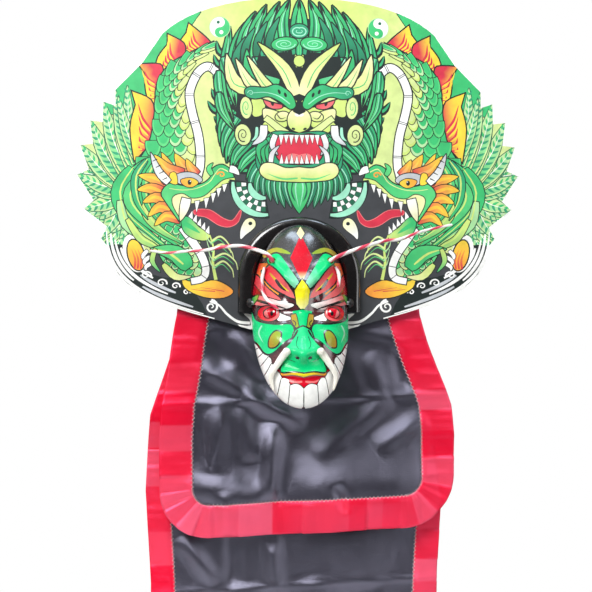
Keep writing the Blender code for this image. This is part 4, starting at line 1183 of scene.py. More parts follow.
MOUNDS = (
    (EYE_PLACE, 14, -3.5),
    ((0, -65), 17, 15),
    ((15, -60), 10, 7),
    ((32, -46), 18, 6),
    ((7, -71), 4, -3.5),
)
RIDGES = (
    ((34, 46), (3, 16), 10, 6),
    ((0, 4), (0, -50), 12, 6),
    ((20, -6), (50, -4), 4, 2.2),
    ((24, -29), (50, -27), 4, 1.6),
    ((0, -91), (24, -87), 5, 2.6),
    ((0, -98), (27, -95), 5, -1.6),
    ((14, 36), (22, 4), 4, -1.2),
)


def face_relief(x, z):
    """The carving: brow, eye socket, nose, nostril and cheek, and the finer cuts of the lids and the lip."""
    side = abs(x)
    return sum(mound(side, z, *m) for m in MOUNDS) + sum(ridge(side, z, *r) for r in RIDGES)


def head_point(turn, z):
    """A point of the head's outer face. turn runs from -90 degrees at the left rim to 90 at the right."""
    share = egg_share(z)
    width, depth = HEAD_HALF_WIDTH * share, table_value(HEAD_DEPTHS, z) * share
    x, y = width * math.sin(turn), rim_y(z) - depth * math.cos(turn)
    lift = face_relief(x, z) * math.cos(turn)
    return Vector((x + lift * math.sin(turn), y - lift * math.cos(turn), z))


def face_point(x, z):
    """The point of the carved face straight ahead of a place on it."""
    turn = math.asin(max(-1.0, min(1.0, x / (HEAD_HALF_WIDTH * egg_share(z)))))
    return Vector((x, head_point(turn, z).y, z))


def wrapped(x, z):
    """Degrees round and down the head at which a place seen from the front lies."""
    z = max(HEAD_BOTTOM + 0.01, min(HEAD_TOP - 0.01, z))
    width = HEAD_HALF_WIDTH * max(egg_share(z), 0.02)
    turn = math.degrees(math.asin(max(-1.0, min(1.0, x / width))))
    return Vector((turn, math.degrees(math.acos((z - HEAD_MIDDLE) / HEAD_HALF_HEIGHT))))


class FacePaint(Drawing):
    """A drawing given in the head's front view and wrapped round it."""

    def fill(self, ink, points, fade=None, edge=0.0, edge_ink="black"):
        flat = divided([Vector(p) for p in points], PAINT_STEP)
        if edge:
            around_it = [wrapped(p.x, p.y) for p in divided(grown(flat, edge), PAINT_STEP)]
            self.shapes.append((around_it, INK[edge_ink], None))
        if fade:
            fade = (INK[fade[0]], wrapped(*fade[1]), wrapped(*fade[2]))
        self.shapes.append(([wrapped(p.x, p.y) for p in flat], INK[ink], fade))


def paint_brow(paint):
    """Black dome, its red diamond, gold bands, green brows and the red flames beside them."""
    paint.fill("mask_dark_red", [(-2, 100), (80, 100), (80, -140), (-2, -140)])
    paint.shape("mask_red", [(20, 46), (44, 47), (62, 46), (80, 44), (80, 6), (58, 8), (46, 14), (30, 6)],
                ("orange", (62, 30), (50, -10)), 1.8)
    paint.fill("black", smooth([(-2, 100), (80, 100), (80, 40), (50, 52), (30, 54), (12, 46), (-2, 40)], 4))
    paint.leaf("gold", ((48, 56), (30, 63), (12, 58)), 8, 0.6, "olive", 1.2)
    paint.shape("mask_green", [(28, 58), (40, 55), (41, 48), (24, 30), (8, 14), (3, 20), (14, 38)],
                ("mint", (20, 36), (3, 14)), 2.2)
    paint.leaf("mask_red", ((44, 40), (30, 22), (9, 2)), 19, 0.5, "pink", 2.2)
    paint.leaf("gold", ((40, 34), (28, 20), (16, 10)), 3, 0.4, "mask_yellow", 0)
    paint.leaf("black", ((33, 26), (27, 17), (20, 11)), 4, 0.4, edge=0)
    paint.leaf("mask_red", ((60, 30), (48, 12), (26, 0)), 12, 0.6, "pink", 1.6)
    paint.leaf("mask_red", ((66, 22), (54, 6), (40, 0)), 9, 0.6, "mask_dark_red", 1.0)
    paint.fill("mask_red", [(0, 84), (14, 53), (0, 22), (-14, 53)], ("cream", (0, 36), (0, 24)), 2.2)
    paint.fill("cream", [(0, 94), (5, 85), (0, 77), (-5, 85)], edge=0.8)
    paint.fill("mask_yellow", [(0, 26), (9, 12), (7, -5), (0, -14), (-7, -5), (-9, 12)],
               ("cream", (0, 4), (0, -14)), 1.4)


def paint_eyes(paint):
    """White and pink lids, the eye's dark rim, and the folds on the bridge of the nose."""
    paint.shape("pink", [(10, -6), (30, -1), (56, 6), (64, -4), (48, -8), (26, -12)],
                ("white", (50, 2), (14, -8)), 1.2)
    paint.leaf("black", ((64, 2), (40, -5), (14, -13)), 3.4, 0.5, edge=0)
    paint.leaf("mask_green", ((70, -8), (62, -2), (54, 6)), 8, 0.8, "olive")
    paint.shape("black", ((11, -23), (24, -17), (38, -7), (54, -9), (58, -18), (48, -27), (28, -27)))
    paint.shape("white", ((13, -23), (25, -18), (32, -15), (31, -25), (24, -26)), steps=3)
    paint.fill("pink", oval((42, -17), 13, 9.6, 0, 20), ("mask_red", (30, -17), (52, -17)), 0.8)
    paint.fill("mask_green", [(0, -12), (12, -14), (10, -30), (0, -34)], edge=1.2)
    paint.leaf("gold", ((11, -18), (9, -28), (5, -36)), 7, 0.7, "olive", 1.1)
    paint.fill("black", spiral((12, -30), 4.4, 1.2, 1.4, 90))


def paint_cheeks(paint):
    """Green cheeks with olive drops, the nose and the lip."""
    cheek = ((14, -31), (34, -31), (56, -27), (62, -16), (72, -6), (72, -40), (56, -54), (46, -66),
             (36, -64), (20, -50), (12, -44))
    paint.shape("mask_green", cheek, ("spring", (40, -30), (40, -62)), 2.6)
    drop = ((26, -41), (32, -39), (39, -48), (41, -58), (34, -58), (28, -52))
    paint.shape("olive", drop, ("gold", (26, -40), (40, -58)), 1.7)
    paint.leaf("mint", ((50, -32), (54, -42), (48, -54)), 2, 0.4, edge=0)
    muzzle = smooth([(-2, -32), (9, -38), (14, -52), (20, -60), (24, -74), (27, -88), (12, -87),
                     (-2, -89)], 4)
    paint.fill("mask_green", muzzle, ("spring", (0, -86), (0, -56)), 1.9)
    paint.leaf("black", ((6, -37), (10, -44), (15, -52)), 2.4, 0.5, edge=0)
    paint.line("black", ((19, -56), (22, -64), (19, -72), (10, -76)), 1.4, 0.5)
    paint.fill("black", oval((7, -71), 2.6, 1.9, 25, 10))
    paint.line("deep", ((6, -45), (8, -54), (5, -60)), 1.2, 0.5)


def paint_mouth(paint):
    """Gold lip line, scalloped gums, and big teeth round the edge of the upper jaw."""
    paint.fill("mask_red", smooth([(-2, -88), (30, -86), (42, -74), (58, -50), (64, -24), (80, -24),
                                   (80, -140),
                                   (-2, -140)], 4), ("mask_dark_red", (10, -96), (58, -50)), 1.2)
    paint.fill("orange", smooth([(-2, -88), (14, -86), (27, -88), (27, -93), (12, -92), (-2, -95)], 4),
               ("mask_yellow", (27, -90), (0, -92)), 1.0)
    paint.leaf("pink", ((2, -100), (12, -101), (22, -97)), 3, 0.5, edge=0)
    edge = [Vector((HEAD_HALF_WIDTH * egg_share(z), z)) for z in np.linspace(-20, HEAD_BOTTOM, 130)]
    lengths = np.cumsum([0] + [(b - a).length for a, b in zip(edge, edge[1:])])
    teeth = ((7, 10), (8, 12), (9, 14), (10, 16), (11, 17), (12, 18), (13, 20), (14, 23), (15, 26),
             (16, 29), (18, 30))
    travelled = float(lengths[-1]) - sum(width for width, _ in teeth)
    for width, height in teeth:
        roots = [place_on(edge, lengths, travelled + width * k / 4) for k in range(5)]
        upright = 0.4 + 0.6 * min(1.0, (travelled / float(lengths[-1])) ** 2)
        tops = []
        for k in (4, 3, 2, 1, 0):
            inward = (Vector((0, -66)) - roots[k]).normalized().lerp(Vector((0, 1)), upright)
            tops.append(roots[k] + inward.normalized() * height * (0.84 + 0.16 * math.sin(math.pi * k / 4)))
        outside = [p + Vector((p.x * 0.08, -4)) for p in roots]
        paint.fill("white", outside + smooth(tops, 3), edge=1.0)
        travelled += width
    paint.leaf("line", ((0, HEAD_BOTTOM), (0, -120), (0, -106)), 1.4, 0.8, edge=0)


def place_on(path, lengths, travelled):
    """The point of a path after a travelled length."""
    x = np.interp(travelled, lengths, [p.x for p in path])
    z = np.interp(travelled, lengths, [p.y for p in path])
    return Vector((float(x), float(z)))


def make_head():
    """The shell: painted outside, bare carved wood inside, with the paint wrapped over fine relief."""
    paint = FacePaint()
    for draw in (paint_brow, paint_mouth, paint_eyes, paint_cheeks):
        draw(paint)
    first, last = HEAD_END_DEG, 180 - HEAD_END_DEG
    outline = [Vector(p) for p in ((0, first), (90, first), (90, last), (0, last))]
    turns = np.arange(1.5, 90, HEAD_TURN_STEP)
    grid = [(turn, down) for turn in turns for down in np.arange(first + 1, last, HEAD_DOWN_STEP)]
    outline = divided(outline, HEAD_RIM_STEP)
    points, triangles, colours = triangulate(paint, outline, extra=grid, longest=1.6)

    def lift(turn, down):
        return head_point(math.radians(turn), HEAD_MIDDLE + HEAD_HALF_HEIGHT * math.cos(math.radians(down)))

    mesh = mirrored_mesh("painted_head", points, triangles, colours, lift)
    face_outwards(mesh, at(0, 0, HEAD_MIDDLE))
    materials = [MATERIALS["enamel"], MATERIALS["carved"], MATERIALS["lacquer"]]
    head = add_piece("painted_head", mesh, materials, "head_and_panel", ["head_shell"], 60)
    wall = head.modifiers.new("wall", "SOLIDIFY")
    wall.thickness = HEAD_WALL * MM
    wall.offset = -1
    wall.material_offset, wall.material_offset_rim = 1, 2


def face_outwards(mesh, centre):
    """Turns the faces so that they look away from a centre."""
    looks = sum((p.center - centre).dot(p.normal) for p in mesh.polygons)
    if looks < 0:
        mesh.flip_normals()


def eye_ink(x, z):
    """The eye's ink at a place in mm from its centre: red iris, dark slit and rim, white corner, a painted
    white glint up on the inner side, and a painted pink highlight on the outer side.
    """
    # a painted white glint
    if math.hypot(x + 2.6, z - 2.8) < 1.3:
        return "white"
    if math.hypot(x / 10.2, z / 7.2) > 0.92 or math.hypot(x / 2.0, z / 3.0) < 1:
        return "black"
    # the pink outer part is a painted highlight
    return "white" if x < -6 else "mask_red" if x < 5 + 0.3 * z else "pink"


def make_eyes():
    """Glossy domes set in the sockets."""
    for side, sign in (("left", -1), ("right", 1)):
        place = face_point(sign * EYE_PLACE[0], EYE_PLACE[1]) + Vector((0, 1, 0))
        work = bmesh.new()
        bmesh.ops.create_uvsphere(work, u_segments=72, v_segments=48, radius=1.0)
        for vertex in work.verts:
            x, y, z = vertex.co
            vertex.co = at(*(place + Vector((x * EYE_HALF[0], -z * EYE_HALF[1], y * EYE_HALF[2]))))
        mesh = bpy.data.meshes.new(f"{side}_eye_dome")
        work.to_mesh(mesh)
        work.free()
        face_out(mesh)
        local = [(polygon.center - DATUM) / MM - place for polygon in mesh.polygons]
        paint_faces(mesh, [eye_ink(sign * p.x, p.z) for p in local])
        add_piece(mesh.name, mesh, [MATERIALS["enamel"]], "head_and_panel", [f"{side}_eye"],
                  80)


def surface_run(places, lift, steps):
    """A smooth path held a fixed lift off the carved face."""
    count = len(places) - 1
    found = []
    for i in range(steps + 1):
        whole = min(int(i * count / steps), count - 1)
        around_it = [Vector(places[max(0, min(count, whole + k))]) for k in (-1, 0, 1, 2)]
        x, z = catmull_rom(around_it, i * count / steps - whole)
        out = Vector((x / HEAD_HALF_WIDTH, -1.0, 0)).normalized()
        found.append(face_point(x, z) + out * lift)
    return found


TUSK_PLACES = ((17, -60), (28, -76), (37, -94), (34, -112))
TUSK_RADIUS, TUSK_LIFT, TUSK_STEPS = 5.2, 5.6, 40


def make_tusks():
    """Curved tusks that start beside the nose and sweep round the mouth, blunt above and pointed below."""
    blunt = [min(1.0, 0.35 + i / 4) for i in range(TUSK_STEPS + 1)]
    radii = [TUSK_RADIUS * (1 - i / (TUSK_STEPS + 0.4)) ** 0.5 * blunt[i] for i in range(TUSK_STEPS + 1)]
    for side, sign in (("left", -1), ("right", 1)):
        run = surface_run([(sign * x, z) for x, z in TUSK_PLACES], TUSK_LIFT, TUSK_STEPS)
        mesh = tube_mesh(f"{side}_ivory_tusk", run, radii, 24)
        add_piece(mesh.name, mesh, [MATERIALS["tusk"]], "head_and_panel", [f"{side}_tusk"], 60)


# Whiskers


WHISKER_PLACES = {
    "left": ((46, -60, 59), (75, -51, 68), (99, -46, 67), (122, -41, 63), (144, -37, 62), (170, -33, 60),
             (192, -30, 63)),
    "right": ((46, -60, 55), (69, -53, 64), (105, -45, 75), (124, -41, 77), (142, -38, 83), (160, -34, 89),
              (196, -29, 97)),
}
CURL_PLACES = {"left": ((44, 41), (48, 22), (43, 2), (28, -12)), "right": ((43, 42), (46, 30), (44, 16))}
WIRE_NECK_RADIUS, WIRE_RADIUS, WIRE_TAPER, WIRE_NECK_STEPS = 1.9, 3.0, 1.4, 22
CURL_RADIUS, CURL_LIFT, CURL_STEPS, CURL_END_STEPS = 2.3, 3.4, 60, 7


def make_whiskers():
    """Striped wires that spring from the brass sockets, and short wires that carry on down the face."""
    ending = [CURL_RADIUS - 0.2 * i for i in range(1, CURL_END_STEPS + 1)]
    curl_radii = [CURL_RADIUS] * (CURL_STEPS + 1 - CURL_END_STEPS) + ending
    for side, sign in (("left", -1), ("right", 1)):
        x, z = sign * SOCKET_PLACE[0], SOCKET_PLACE[1]
        mouth = face_point(x, z).y - 5
        path = [(x, mouth + 8, z), (x, mouth, z), (x, mouth - 5, z)]
        path += [(sign * px, py, pz) for px, py, pz in WHISKER_PLACES[side]]
        run = smooth(path, 14)
        last = len(run) - 1
        necks = [WIRE_NECK_RADIUS + max(0, i - WIRE_NECK_STEPS) * 0.14 for i in range(last)]
        radii = [min(neck, WIRE_RADIUS - WIRE_TAPER * i / last) for i, neck in enumerate(necks)] + [1.0]
        curl = surface_run([(sign * px, pz) for px, pz in CURL_PLACES[side]], CURL_LIFT, CURL_STEPS)
        wires = (
            (f"{side}_striped_whisker", run, radii, f"{side}_whisker", f"{side}_whisker"),
            (f"{side}_striped_curl", curl, curl_radii, "head_and_panel", f"{side}_face_curl"),
        )
        for name, points, sizes, body, node in wires:
            mesh = tube_mesh(name, points, sizes)
            add_piece(name, mesh, [MATERIALS["wire"]], body, [node], 60)


# Collar


COLLAR_OUTER, COLLAR_INNER, COLLAR_CENTRE_Z, COLLAR_FOOT = 80, 54, 28, -16
COLLAR_BACK_Y, COLLAR_FRONT_Y, COLLAR_ROUGHNESS = -4.3, -16.3, 0.25


def make_collar():
    """A lacquered arch with straight legs and a softly rounded front."""
    middle, half = (COLLAR_OUTER + COLLAR_INNER) / 2, (COLLAR_OUTER - COLLAR_INNER) / 2
    leg = [(Vector((middle, z)), Vector((1, 0))) for z in np.arange(COLLAR_FOOT, COLLAR_CENTRE_Z, 3)]
    turns = [math.radians(3 * i) for i in range(61)]
    ways = [Vector((math.cos(t), math.sin(t))) for t in turns]
    path = leg + [(Vector((0, COLLAR_CENTRE_Z)) + way * middle, way) for way in ways]
    path += [(Vector((-p.x, p.y)), Vector((-1, 0))) for p, _ in leg[::-1]]
    sides, verts = 26, []
    for spot, way in path:
        for k in range(sides):
            across = math.cos(math.pi * k / (sides - 1))
            crown = (1 - abs(across) ** 3.2) ** 0.42
            place = spot + way * half * across
            rough = COLLAR_ROUGHNESS * noise.noise(Vector((place.x / 9, place.y / 9, across)))
            y = COLLAR_BACK_Y + (COLLAR_FRONT_Y - COLLAR_BACK_Y) * crown + rough * crown
            verts.append(at(place.x, y, place.y))
    mesh = mesh_from("lacquered_collar", verts, tube_faces(len(path), sides))
    face_out(mesh)
    add_piece(mesh.name, mesh, [MATERIALS["lacquer"]], "head_and_panel", ["head_collar"],
              40)


# Lower jaw


HINGE_Y, HINGE_Z = -27, -4
JAW_TOP, JAW_BOTTOM, JAW_DEPTH, JAW_WALL, JAW_CLEARANCE = -24, -131, 16, 5, 1.2
JAW_MIDDLE, JAW_ROUNDING = -92, 66
EAR_INNER_X, EAR_OUTER_X = 42, 48


def jaw_grid(inset, rows=44, columns=40):
    """The jaw's dish behind the mouth line; inset gives its inner side."""
    grid = []
    for i in range(rows + 1):
        z = JAW_TOP + (JAW_BOTTOM - JAW_TOP) * math.sin(0.5 * math.pi * i / rows)
        width = max(HEAD_HALF_WIDTH * egg_share(z) - 0.8 - inset, 2)
        depth = JAW_DEPTH * math.sqrt(max(0.0, 1 - ((z - JAW_MIDDLE) / JAW_ROUNDING) ** 2))
        depth = max(0.0, depth - inset) if inset else max(4, depth)
        row = []
        for k in range(columns + 1):
            turn = math.radians(-90 + 180 * k / columns)
            row.append((width * math.sin(turn), rim_y(z) + JAW_CLEARANCE + depth * math.cos(turn), z))
        grid.append(row)
    return grid


def make_jaw():
    """The snapping jaw: a painted dish with a red inside, a row of teeth, a tongue and two hinge ears."""
    outer, inner = jaw_grid(0.0), jaw_grid(JAW_WALL)
    rows, columns = len(outer), len(outer[0])
    verts = [p for grid in (outer, inner) for row in grid for p in row]
    shift = rows * columns
    faces, inks = [], []
    for i in range(rows - 1):
        for k in range(columns - 1):
            a = i * columns + k
            faces.append((a, a + columns, a + columns + 1, a + 1))
            stripe = abs(k - columns / 2) / columns + 0.12 * math.sin(i * 0.7)
            inks.append("mask_red" if stripe > 0.4 else "black" if stripe > 0.375 else "mask_green")
            faces.append(tuple(v + shift for v in (a + 1, a + columns + 1, a + columns, a)))
            inks.append("mask_dark_red")
    ring = [k for k in range(columns)] + [i * columns + columns - 1 for i in range(1, rows)]
    ring += [(rows - 1) * columns + k for k in reversed(range(columns - 1))]
    ring += [i * columns for i in reversed(range(1, rows - 1))]
    for a, b in zip(ring, ring[1:] + ring[:1]):
        faces.append((a, b, b + shift, a + shift))
        inks.append("pink")
    for sign in (-1, 1):
        eye = [(HINGE_Y + p.x, HINGE_Z + p.y) for p in arc((0, 0), 8, 0, 180, 20)]
        plate = eye + [(-34, -34), (-24.5, -42), (-18.5, -34)]
        first, count = len(verts), len(plate)
        verts += [(sign * x, y, z) for x in (EAR_INNER_X, EAR_OUTER_X) for y, z in plate]
        second = first + count
        made = [tuple(range(first, second)), tuple(range(second + count - 1, second - 1, -1))]
        made += [(first + i, first + count + i, first + count + (i + 1) % count, first + (i + 1) % count)
                 for i in range(count)]
        faces += made if sign < 0 else [face[::-1] for face in made]
        inks += ["mask_red"] * len(made)
    mesh = mesh_from("painted_jaw", [at(*v) for v in verts], faces)
    paint_faces(mesh, inks)
    add_piece("painted_jaw", mesh, [MATERIALS["enamel"]], "lower_jaw", ["lower_jaw"], 50)
    make_jaw_teeth()


def make_jaw_teeth():
    """Small pegs round the jaw's front edge, which lie inside the upper jaw when it is shut."""
    verts, faces = [], []
    sides, levels = 10, ((0, 3.1), (2.2, 3.0), (4.4, 2.2), (5.6, 0.8))
    for i in range(15):
        z = -118 + 62 * abs(i - 7) ** 1.5 / 7**1.5
        x = (HEAD_HALF_WIDTH * egg_share(z) - 10.5) * (1 if i > 7 else -1 if i < 7 else 0)
        if abs(i - 7) < 4:
            x, z = 6.6 * (i - 7), -121 + 0.9 * abs(i - 7) ** 1.6
        first = len(verts)
        for rise, radius in levels:
            for k in range(sides):
                turn = 2 * math.pi * k / sides
                verts.append(at(x + radius * math.cos(turn), rim_y(z) + 2.2 - rise,
                                z + radius * math.sin(turn)))
        faces += tube_faces(len(levels), sides, first)
    mesh = mesh_from("jaw_teeth", verts, faces)
    add_piece("jaw_teeth", mesh, [MATERIALS["tusk"]], "lower_jaw", smooth_angle=60)


def finish_frame_parts():
    """Materials for the CAD pieces that stay as they are."""
    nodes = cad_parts
    finishes = {"crest_backing_board": "board", "spine_batten": "upright_wood"}
    for name, obj in nodes.items():
        finish = finishes.get(name)
        if "screw" in name or name == "jaw_hinge_rod":
            finish = "steel"
        elif name.endswith("socket"):
            finish = "brass"
        elif name.endswith("hinge_cap"):
            finish = "cap"
        elif name.endswith(("batten", "rail", "spacer", "dowel")) and not finish:
            finish = "level_wood"
        if finish:
            obj.data.materials.clear()
            obj.data.materials.append(MATERIALS[finish])


# Cloth body


FRONT_OUTER = ((26, 154), (-20, 159), (-58, 168), (-96, 178), (-138, 190), (-180, 193), (-304, 192))
REAR_OUTER = ((26, 148), (-60, 163), (-150, 190), (-250, 195), (-370, 188), (-598, 186))
FRONT_BORDER, REAR_BORDER = 43, 31
CORNER_RADIUS, RIBBON_STEP = 65, 2.6
RAIL_HIGH, FRONT_FOLD_Z, FRONT_BOTTOM = 26, -130, -304
REAR_TOP_Z, REAR_FOLD_Z, REAR_BOTTOM, REAR_SPLIT_Z = -2, -370, -598, -196
FRONT_CLOTH_Y, REAR_CLOTH_Y = 10.9, 23.1
FOLD_REACH, THREAD_RADIUS, STITCH_HALF = 9, 0.42, 1.6

FRONT_FOLDS = (
    ((-80, -46), (-46, -94), 21, -5), ((-124, -90), (-58, -126), 18, -5),
    ((-110, -46), (-98, -86), 22, 5), ((74, -36), (131, -50), 16, -4),
    ((94, -76), (108, -120), 19, -4), ((131, -70), (139, -116), 16, 4),
    ((56, -56), (80, -124), 24, -4), ((-28, -70), (-14, -126), 26, -4),
    ((-35, -172), (-37, -254), 22, -13), ((-66, -128), (0, -158), 20, -8),
    ((0, -258), (160, -240), 88, -20), ((-132, -240), (-42, -264), 40, -12),
    ((-104, -140), (-111, -216), 30, -8), ((-74, -148), (-62, -204), 24, -5),
    ((110, -136), (30, -196), 22, -7), ((106, -190), (162, -160), 22, -8),
    ((50, -244), (60, -274), 11, 6), ((-98, -256), (-92, -302), 16, -6),
)
REAR_FOLDS = (
    ((-36, -296), (-30, -378), 18, -9), ((-150, -318), (-112, -366), 18, -7),
    ((-84, -300), (-86, -372), 18, 6), ((70, -300), (84, -372), 55, -6),
    ((20, -390), (28, -590), 24, -9), ((-70, -400), (-96, -590), 26, -9),
    ((110, -390), (120, -590), 28, -8), ((-20, -440), (-26, -598), 18, 8),
    ((-80, -80), (-70, -260), 34, 6), ((60, -60), (80, -260), 34, 6),
)


def eased(value, start, end):
    """0 at start and 1 at end, with soft ends."""
    share = max(0.0, min(1.0, (value - start) / (end - start)))
    return share * share * (3 - 2 * share)


def fold_lift(x, z, start, end, radius, height):
    """A soft fold along a line, which dies out beyond both ends."""
    along = Vector(end) - Vector(start)
    offset = Vector((x, z)) - Vector(start)
    share = 2 * offset.dot(along) / along.length_squared - 1
    aside = 1.6 * (offset.x * along.y - offset.y * along.x) / along.length / radius
    return height * max(0.0, 1 - abs(share / 1.3) ** 3) * math.exp(-aside * aside)


def cloth_lift(x, z, folds, top):
    """How far a hanging cloth stands back (+) or forward (-) of its plane: soft folds and small creases."""
    lift = sum(fold_lift(x, z, *fold) for fold in folds)
    lift += 2.8 * noise.noise(Vector((x / 60, z / 84, top)))
    lift += 0.6 * noise.noise(Vector((x / 17, z / 27, top + 7)))
    return lift * eased(z, top - 20, top - 100)


def front_y(x, z):
    """Depth of the hanging front cloth, with its sewn crease, its folds and its waved hem."""
    crease = 2.6 * math.exp(-abs(z - FRONT_FOLD_Z - 0.036 * x) / 5)
    hem = 2.0 * math.sin(x / 13 + 1.5 * math.sin(x / 41)) * eased(z, -240, -300)
    nearest = -9.0 - 12.0 * eased(z, -146, -190)
    return FRONT_CLOTH_Y + max(nearest, min(7.0, cloth_lift(x, z, FRONT_FOLDS, RAIL_HIGH) + hem)) - crease


def rear_y(x, z):
    """Depth of the hanging rear cloth."""
    crease = 2.6 * math.exp(-abs(z - REAR_FOLD_Z + 6 - 0.05 * x) / 5)
    nearest = -3.0 - 9.0 * eased(z, -316, -350)
    return REAR_CLOTH_Y + max(nearest, min(8.0, 2 + cloth_lift(x, z, REAR_FOLDS, REAR_TOP_Z))) - crease


def front_hang(x, z):
    """Where a point of the flat front cloth hangs: lower down it leans right, and its hem rises there."""
    return x + 11 * eased(z, -20, -150), z + 0.05 * x * eased(z, -140, -260)


def rear_hang(x, z):
    """Where a point of the flat rear cloth hangs: lower down it leans to the left."""
    return x - 5 * eased(z, -40, -200), z


def half_width(table, bottom, z, inset=0.0):
    """Half the width of a cloth at a height, with its rounded lower corner."""
    width = table_value(table, z) - inset
    radius = CORNER_RADIUS - inset
    drop = bottom + inset + radius - z
    if drop > 0:
        width += math.sqrt(max(0.0, radius**2 - min(drop, radius) ** 2)) - radius
    return width


def centre_rows(table, border, bottom, high, low, depth, hang, columns=90, step=3.2):
    """Rows of points over the black cloth, which reaches a little under its ribbon."""
    under = border - 3
    low = max(low, bottom + under)
    count = max(2, round((high - low) / step))
    rows = []
    for i in range(count + 1):
        z = high + (low - high) * i / count
        width = half_width(table, bottom, z, under)
        rows.append([hang(width * (2 * k / columns - 1), z) for k in range(columns + 1)])
    return [[(x, depth(x, z) + 0.7, z) for x, z in row] for row in rows]


def ribbon_path(table, border, bottom, high, low):
    """Pairs of outer and inner edge points of the ribbon, down the left side and up the right one."""
    end = max(low, bottom + CORNER_RADIUS)
    pairs = []
    for z in [*np.arange(high, end, -RIBBON_STEP), end]:
        width = table_value(table, z)
        pairs.append((Vector((width, z)), Vector((width - border, z))))
    if low <= bottom:
        centre = Vector((pairs[-1][0].x - CORNER_RADIUS, end))
        for degrees in np.arange(-2, -90, -2.0):
            way = around((0, 0), 1, degrees)
            pairs.append((centre + way * CORNER_RADIUS, centre + way * (CORNER_RADIUS - border)))
        for x in np.arange(centre.x, 0, -RIBBON_STEP):
            pairs.append((Vector((x, bottom)), Vector((x, bottom + border))))
        pairs.append((Vector((0, bottom)), Vector((0, bottom + border))))
    return pairs


def facet_of(travelled):
    """Which flat facet of the ribbon a spot lies in, and its share of the way along that facet."""
    run = travelled / 30 + 0.5 * math.sin(travelled / 47)
    return math.floor(run), run - math.floor(run)


def gathers(travelled, across, corner):
    """How far the ribbon stands out: flat facets that tilt to and fro, with small pleats at the corners."""
    facet, share = facet_of(travelled)
    slant, lean = [noise.cell(Vector((facet, row, 0.5))) for row in (0.5, 7.5)]
    tilt = (3.2 + corner) * slant * (share - 0.5) * (0.3 + 0.7 * across)
    lift = tilt + (3.4 + corner) * lean * (across - 0.3)
    wave = math.sin(travelled / 7 + 2.2 * math.sin(travelled / 31))
    pleat = corner * 1.2 * max(0.0, wave) ** 1.5 * (0.4 + 0.6 * (1 - across))
    fine = noise.noise(Vector((travelled / 7, across * 0.6, corner)))
    return 2.4 + lift + pleat + 0.6 * (1 + corner) * fine


def painted_ribbon_sheen(travelled, z):
    """Painted sheen: each facet is painted a deeper or a paler red, standing for the light it catches, more
    so lower down.
    """
    value = 0.5 + 0.5 * noise.cell(Vector((facet_of(travelled)[0], 3.5, 0.5)))
    share = value**1.4 * (0.35 + 0.65 * eased(z, -60, -190))
    return Vector(linear((245, 2, 44))).lerp(Vector(linear((255, 96, 124))), share)


def ribbon_rows(table, border, bottom, high, low, depth, hang, columns=14):
    """Rows of points along the red ribbon, from its left end round to its right one, and their painted sheen.
    """
    half = ribbon_path(table, border, bottom, high, low)
    left = [(Vector((-a.x, a.y)), Vector((-b.x, b.y))) for a, b in half]
    sides = [left + half[::-1][1:]] if low <= bottom else [left, half]
    made, ribbon_sheen_paint = [], []
    for pairs in sides:
        rows, tones, travelled = [], [], 0.0
        for i, (outer, inner) in enumerate(pairs):
            travelled += (outer - pairs[i - 1][0]).length if i else 0.0
            turning = max(0.0, min(1.0, (bottom + 110 - outer.y) / 60)) if low <= bottom else 0.0
            row = []
            for k in range(columns + 1):
                across = k / columns
                x, z = hang(*inner.lerp(outer, across))
                rise = max(0.3, gathers(travelled, across, turning)) * eased(across, -0.06, 0.2)
                row.append((x, depth(x, z) - 0.4 - rise, z))
            rows.append(row)
            # each row takes its facet's painted sheen: a deeper or paler red for the light that facet catches
            tones.append([painted_ribbon_sheen(travelled, outer.y)] * (columns + 1))
        made.append(rows)
        ribbon_sheen_paint.append(tones)
    return made, ribbon_sheen_paint


def stitch_path(rows_list):
    """A zigzag of thread along the inner edge of each ribbon."""
    runs = []
    for rows in rows_list:
        edge = [(Vector(row[0]), Vector(row[1])) for row in rows]
        run = []
        for i, (inner, next_in) in enumerate(edge):
            outward = (inner - next_in).normalized()
            run.append(inner + outward * (STITCH_HALF if i % 2 else -STITCH_HALF) + Vector((0, -0.45, 0)))
        runs.append(run)
    return runs


def add_cloth(name, mesh, material, thickness, replaces):
    """One cloth piece from a thin sheet, given its thickness."""
    obj = add_piece(name, mesh, [MATERIALS[material]], None, replaces, 180)
    thick = obj.modifiers.new("thickness", "SOLIDIFY")
    thick.thickness, thick.offset = thickness * MM, 0
    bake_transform(obj)


def add_stitches(name, runs):
    """Thread stitches as one mesh of thin bars."""
    work = bmesh.new()
    for run in runs:
        work.from_mesh(tube_mesh(name, run, [THREAD_RADIUS] * len(run), 5))
    mesh = bpy.data.meshes.new(name)
    work.to_mesh(mesh)
    work.free()
    obj = add_piece(name, mesh, [MATERIALS["thread"]], smooth_angle=60)
    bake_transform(obj)


def fold_place(first, second, y, z):
    """A fold line: the bodies above and below it, and where the blend between them starts and ends."""
    return first, second, at(0, y, z + FOLD_REACH), at(0, y, z - FOLD_REACH)


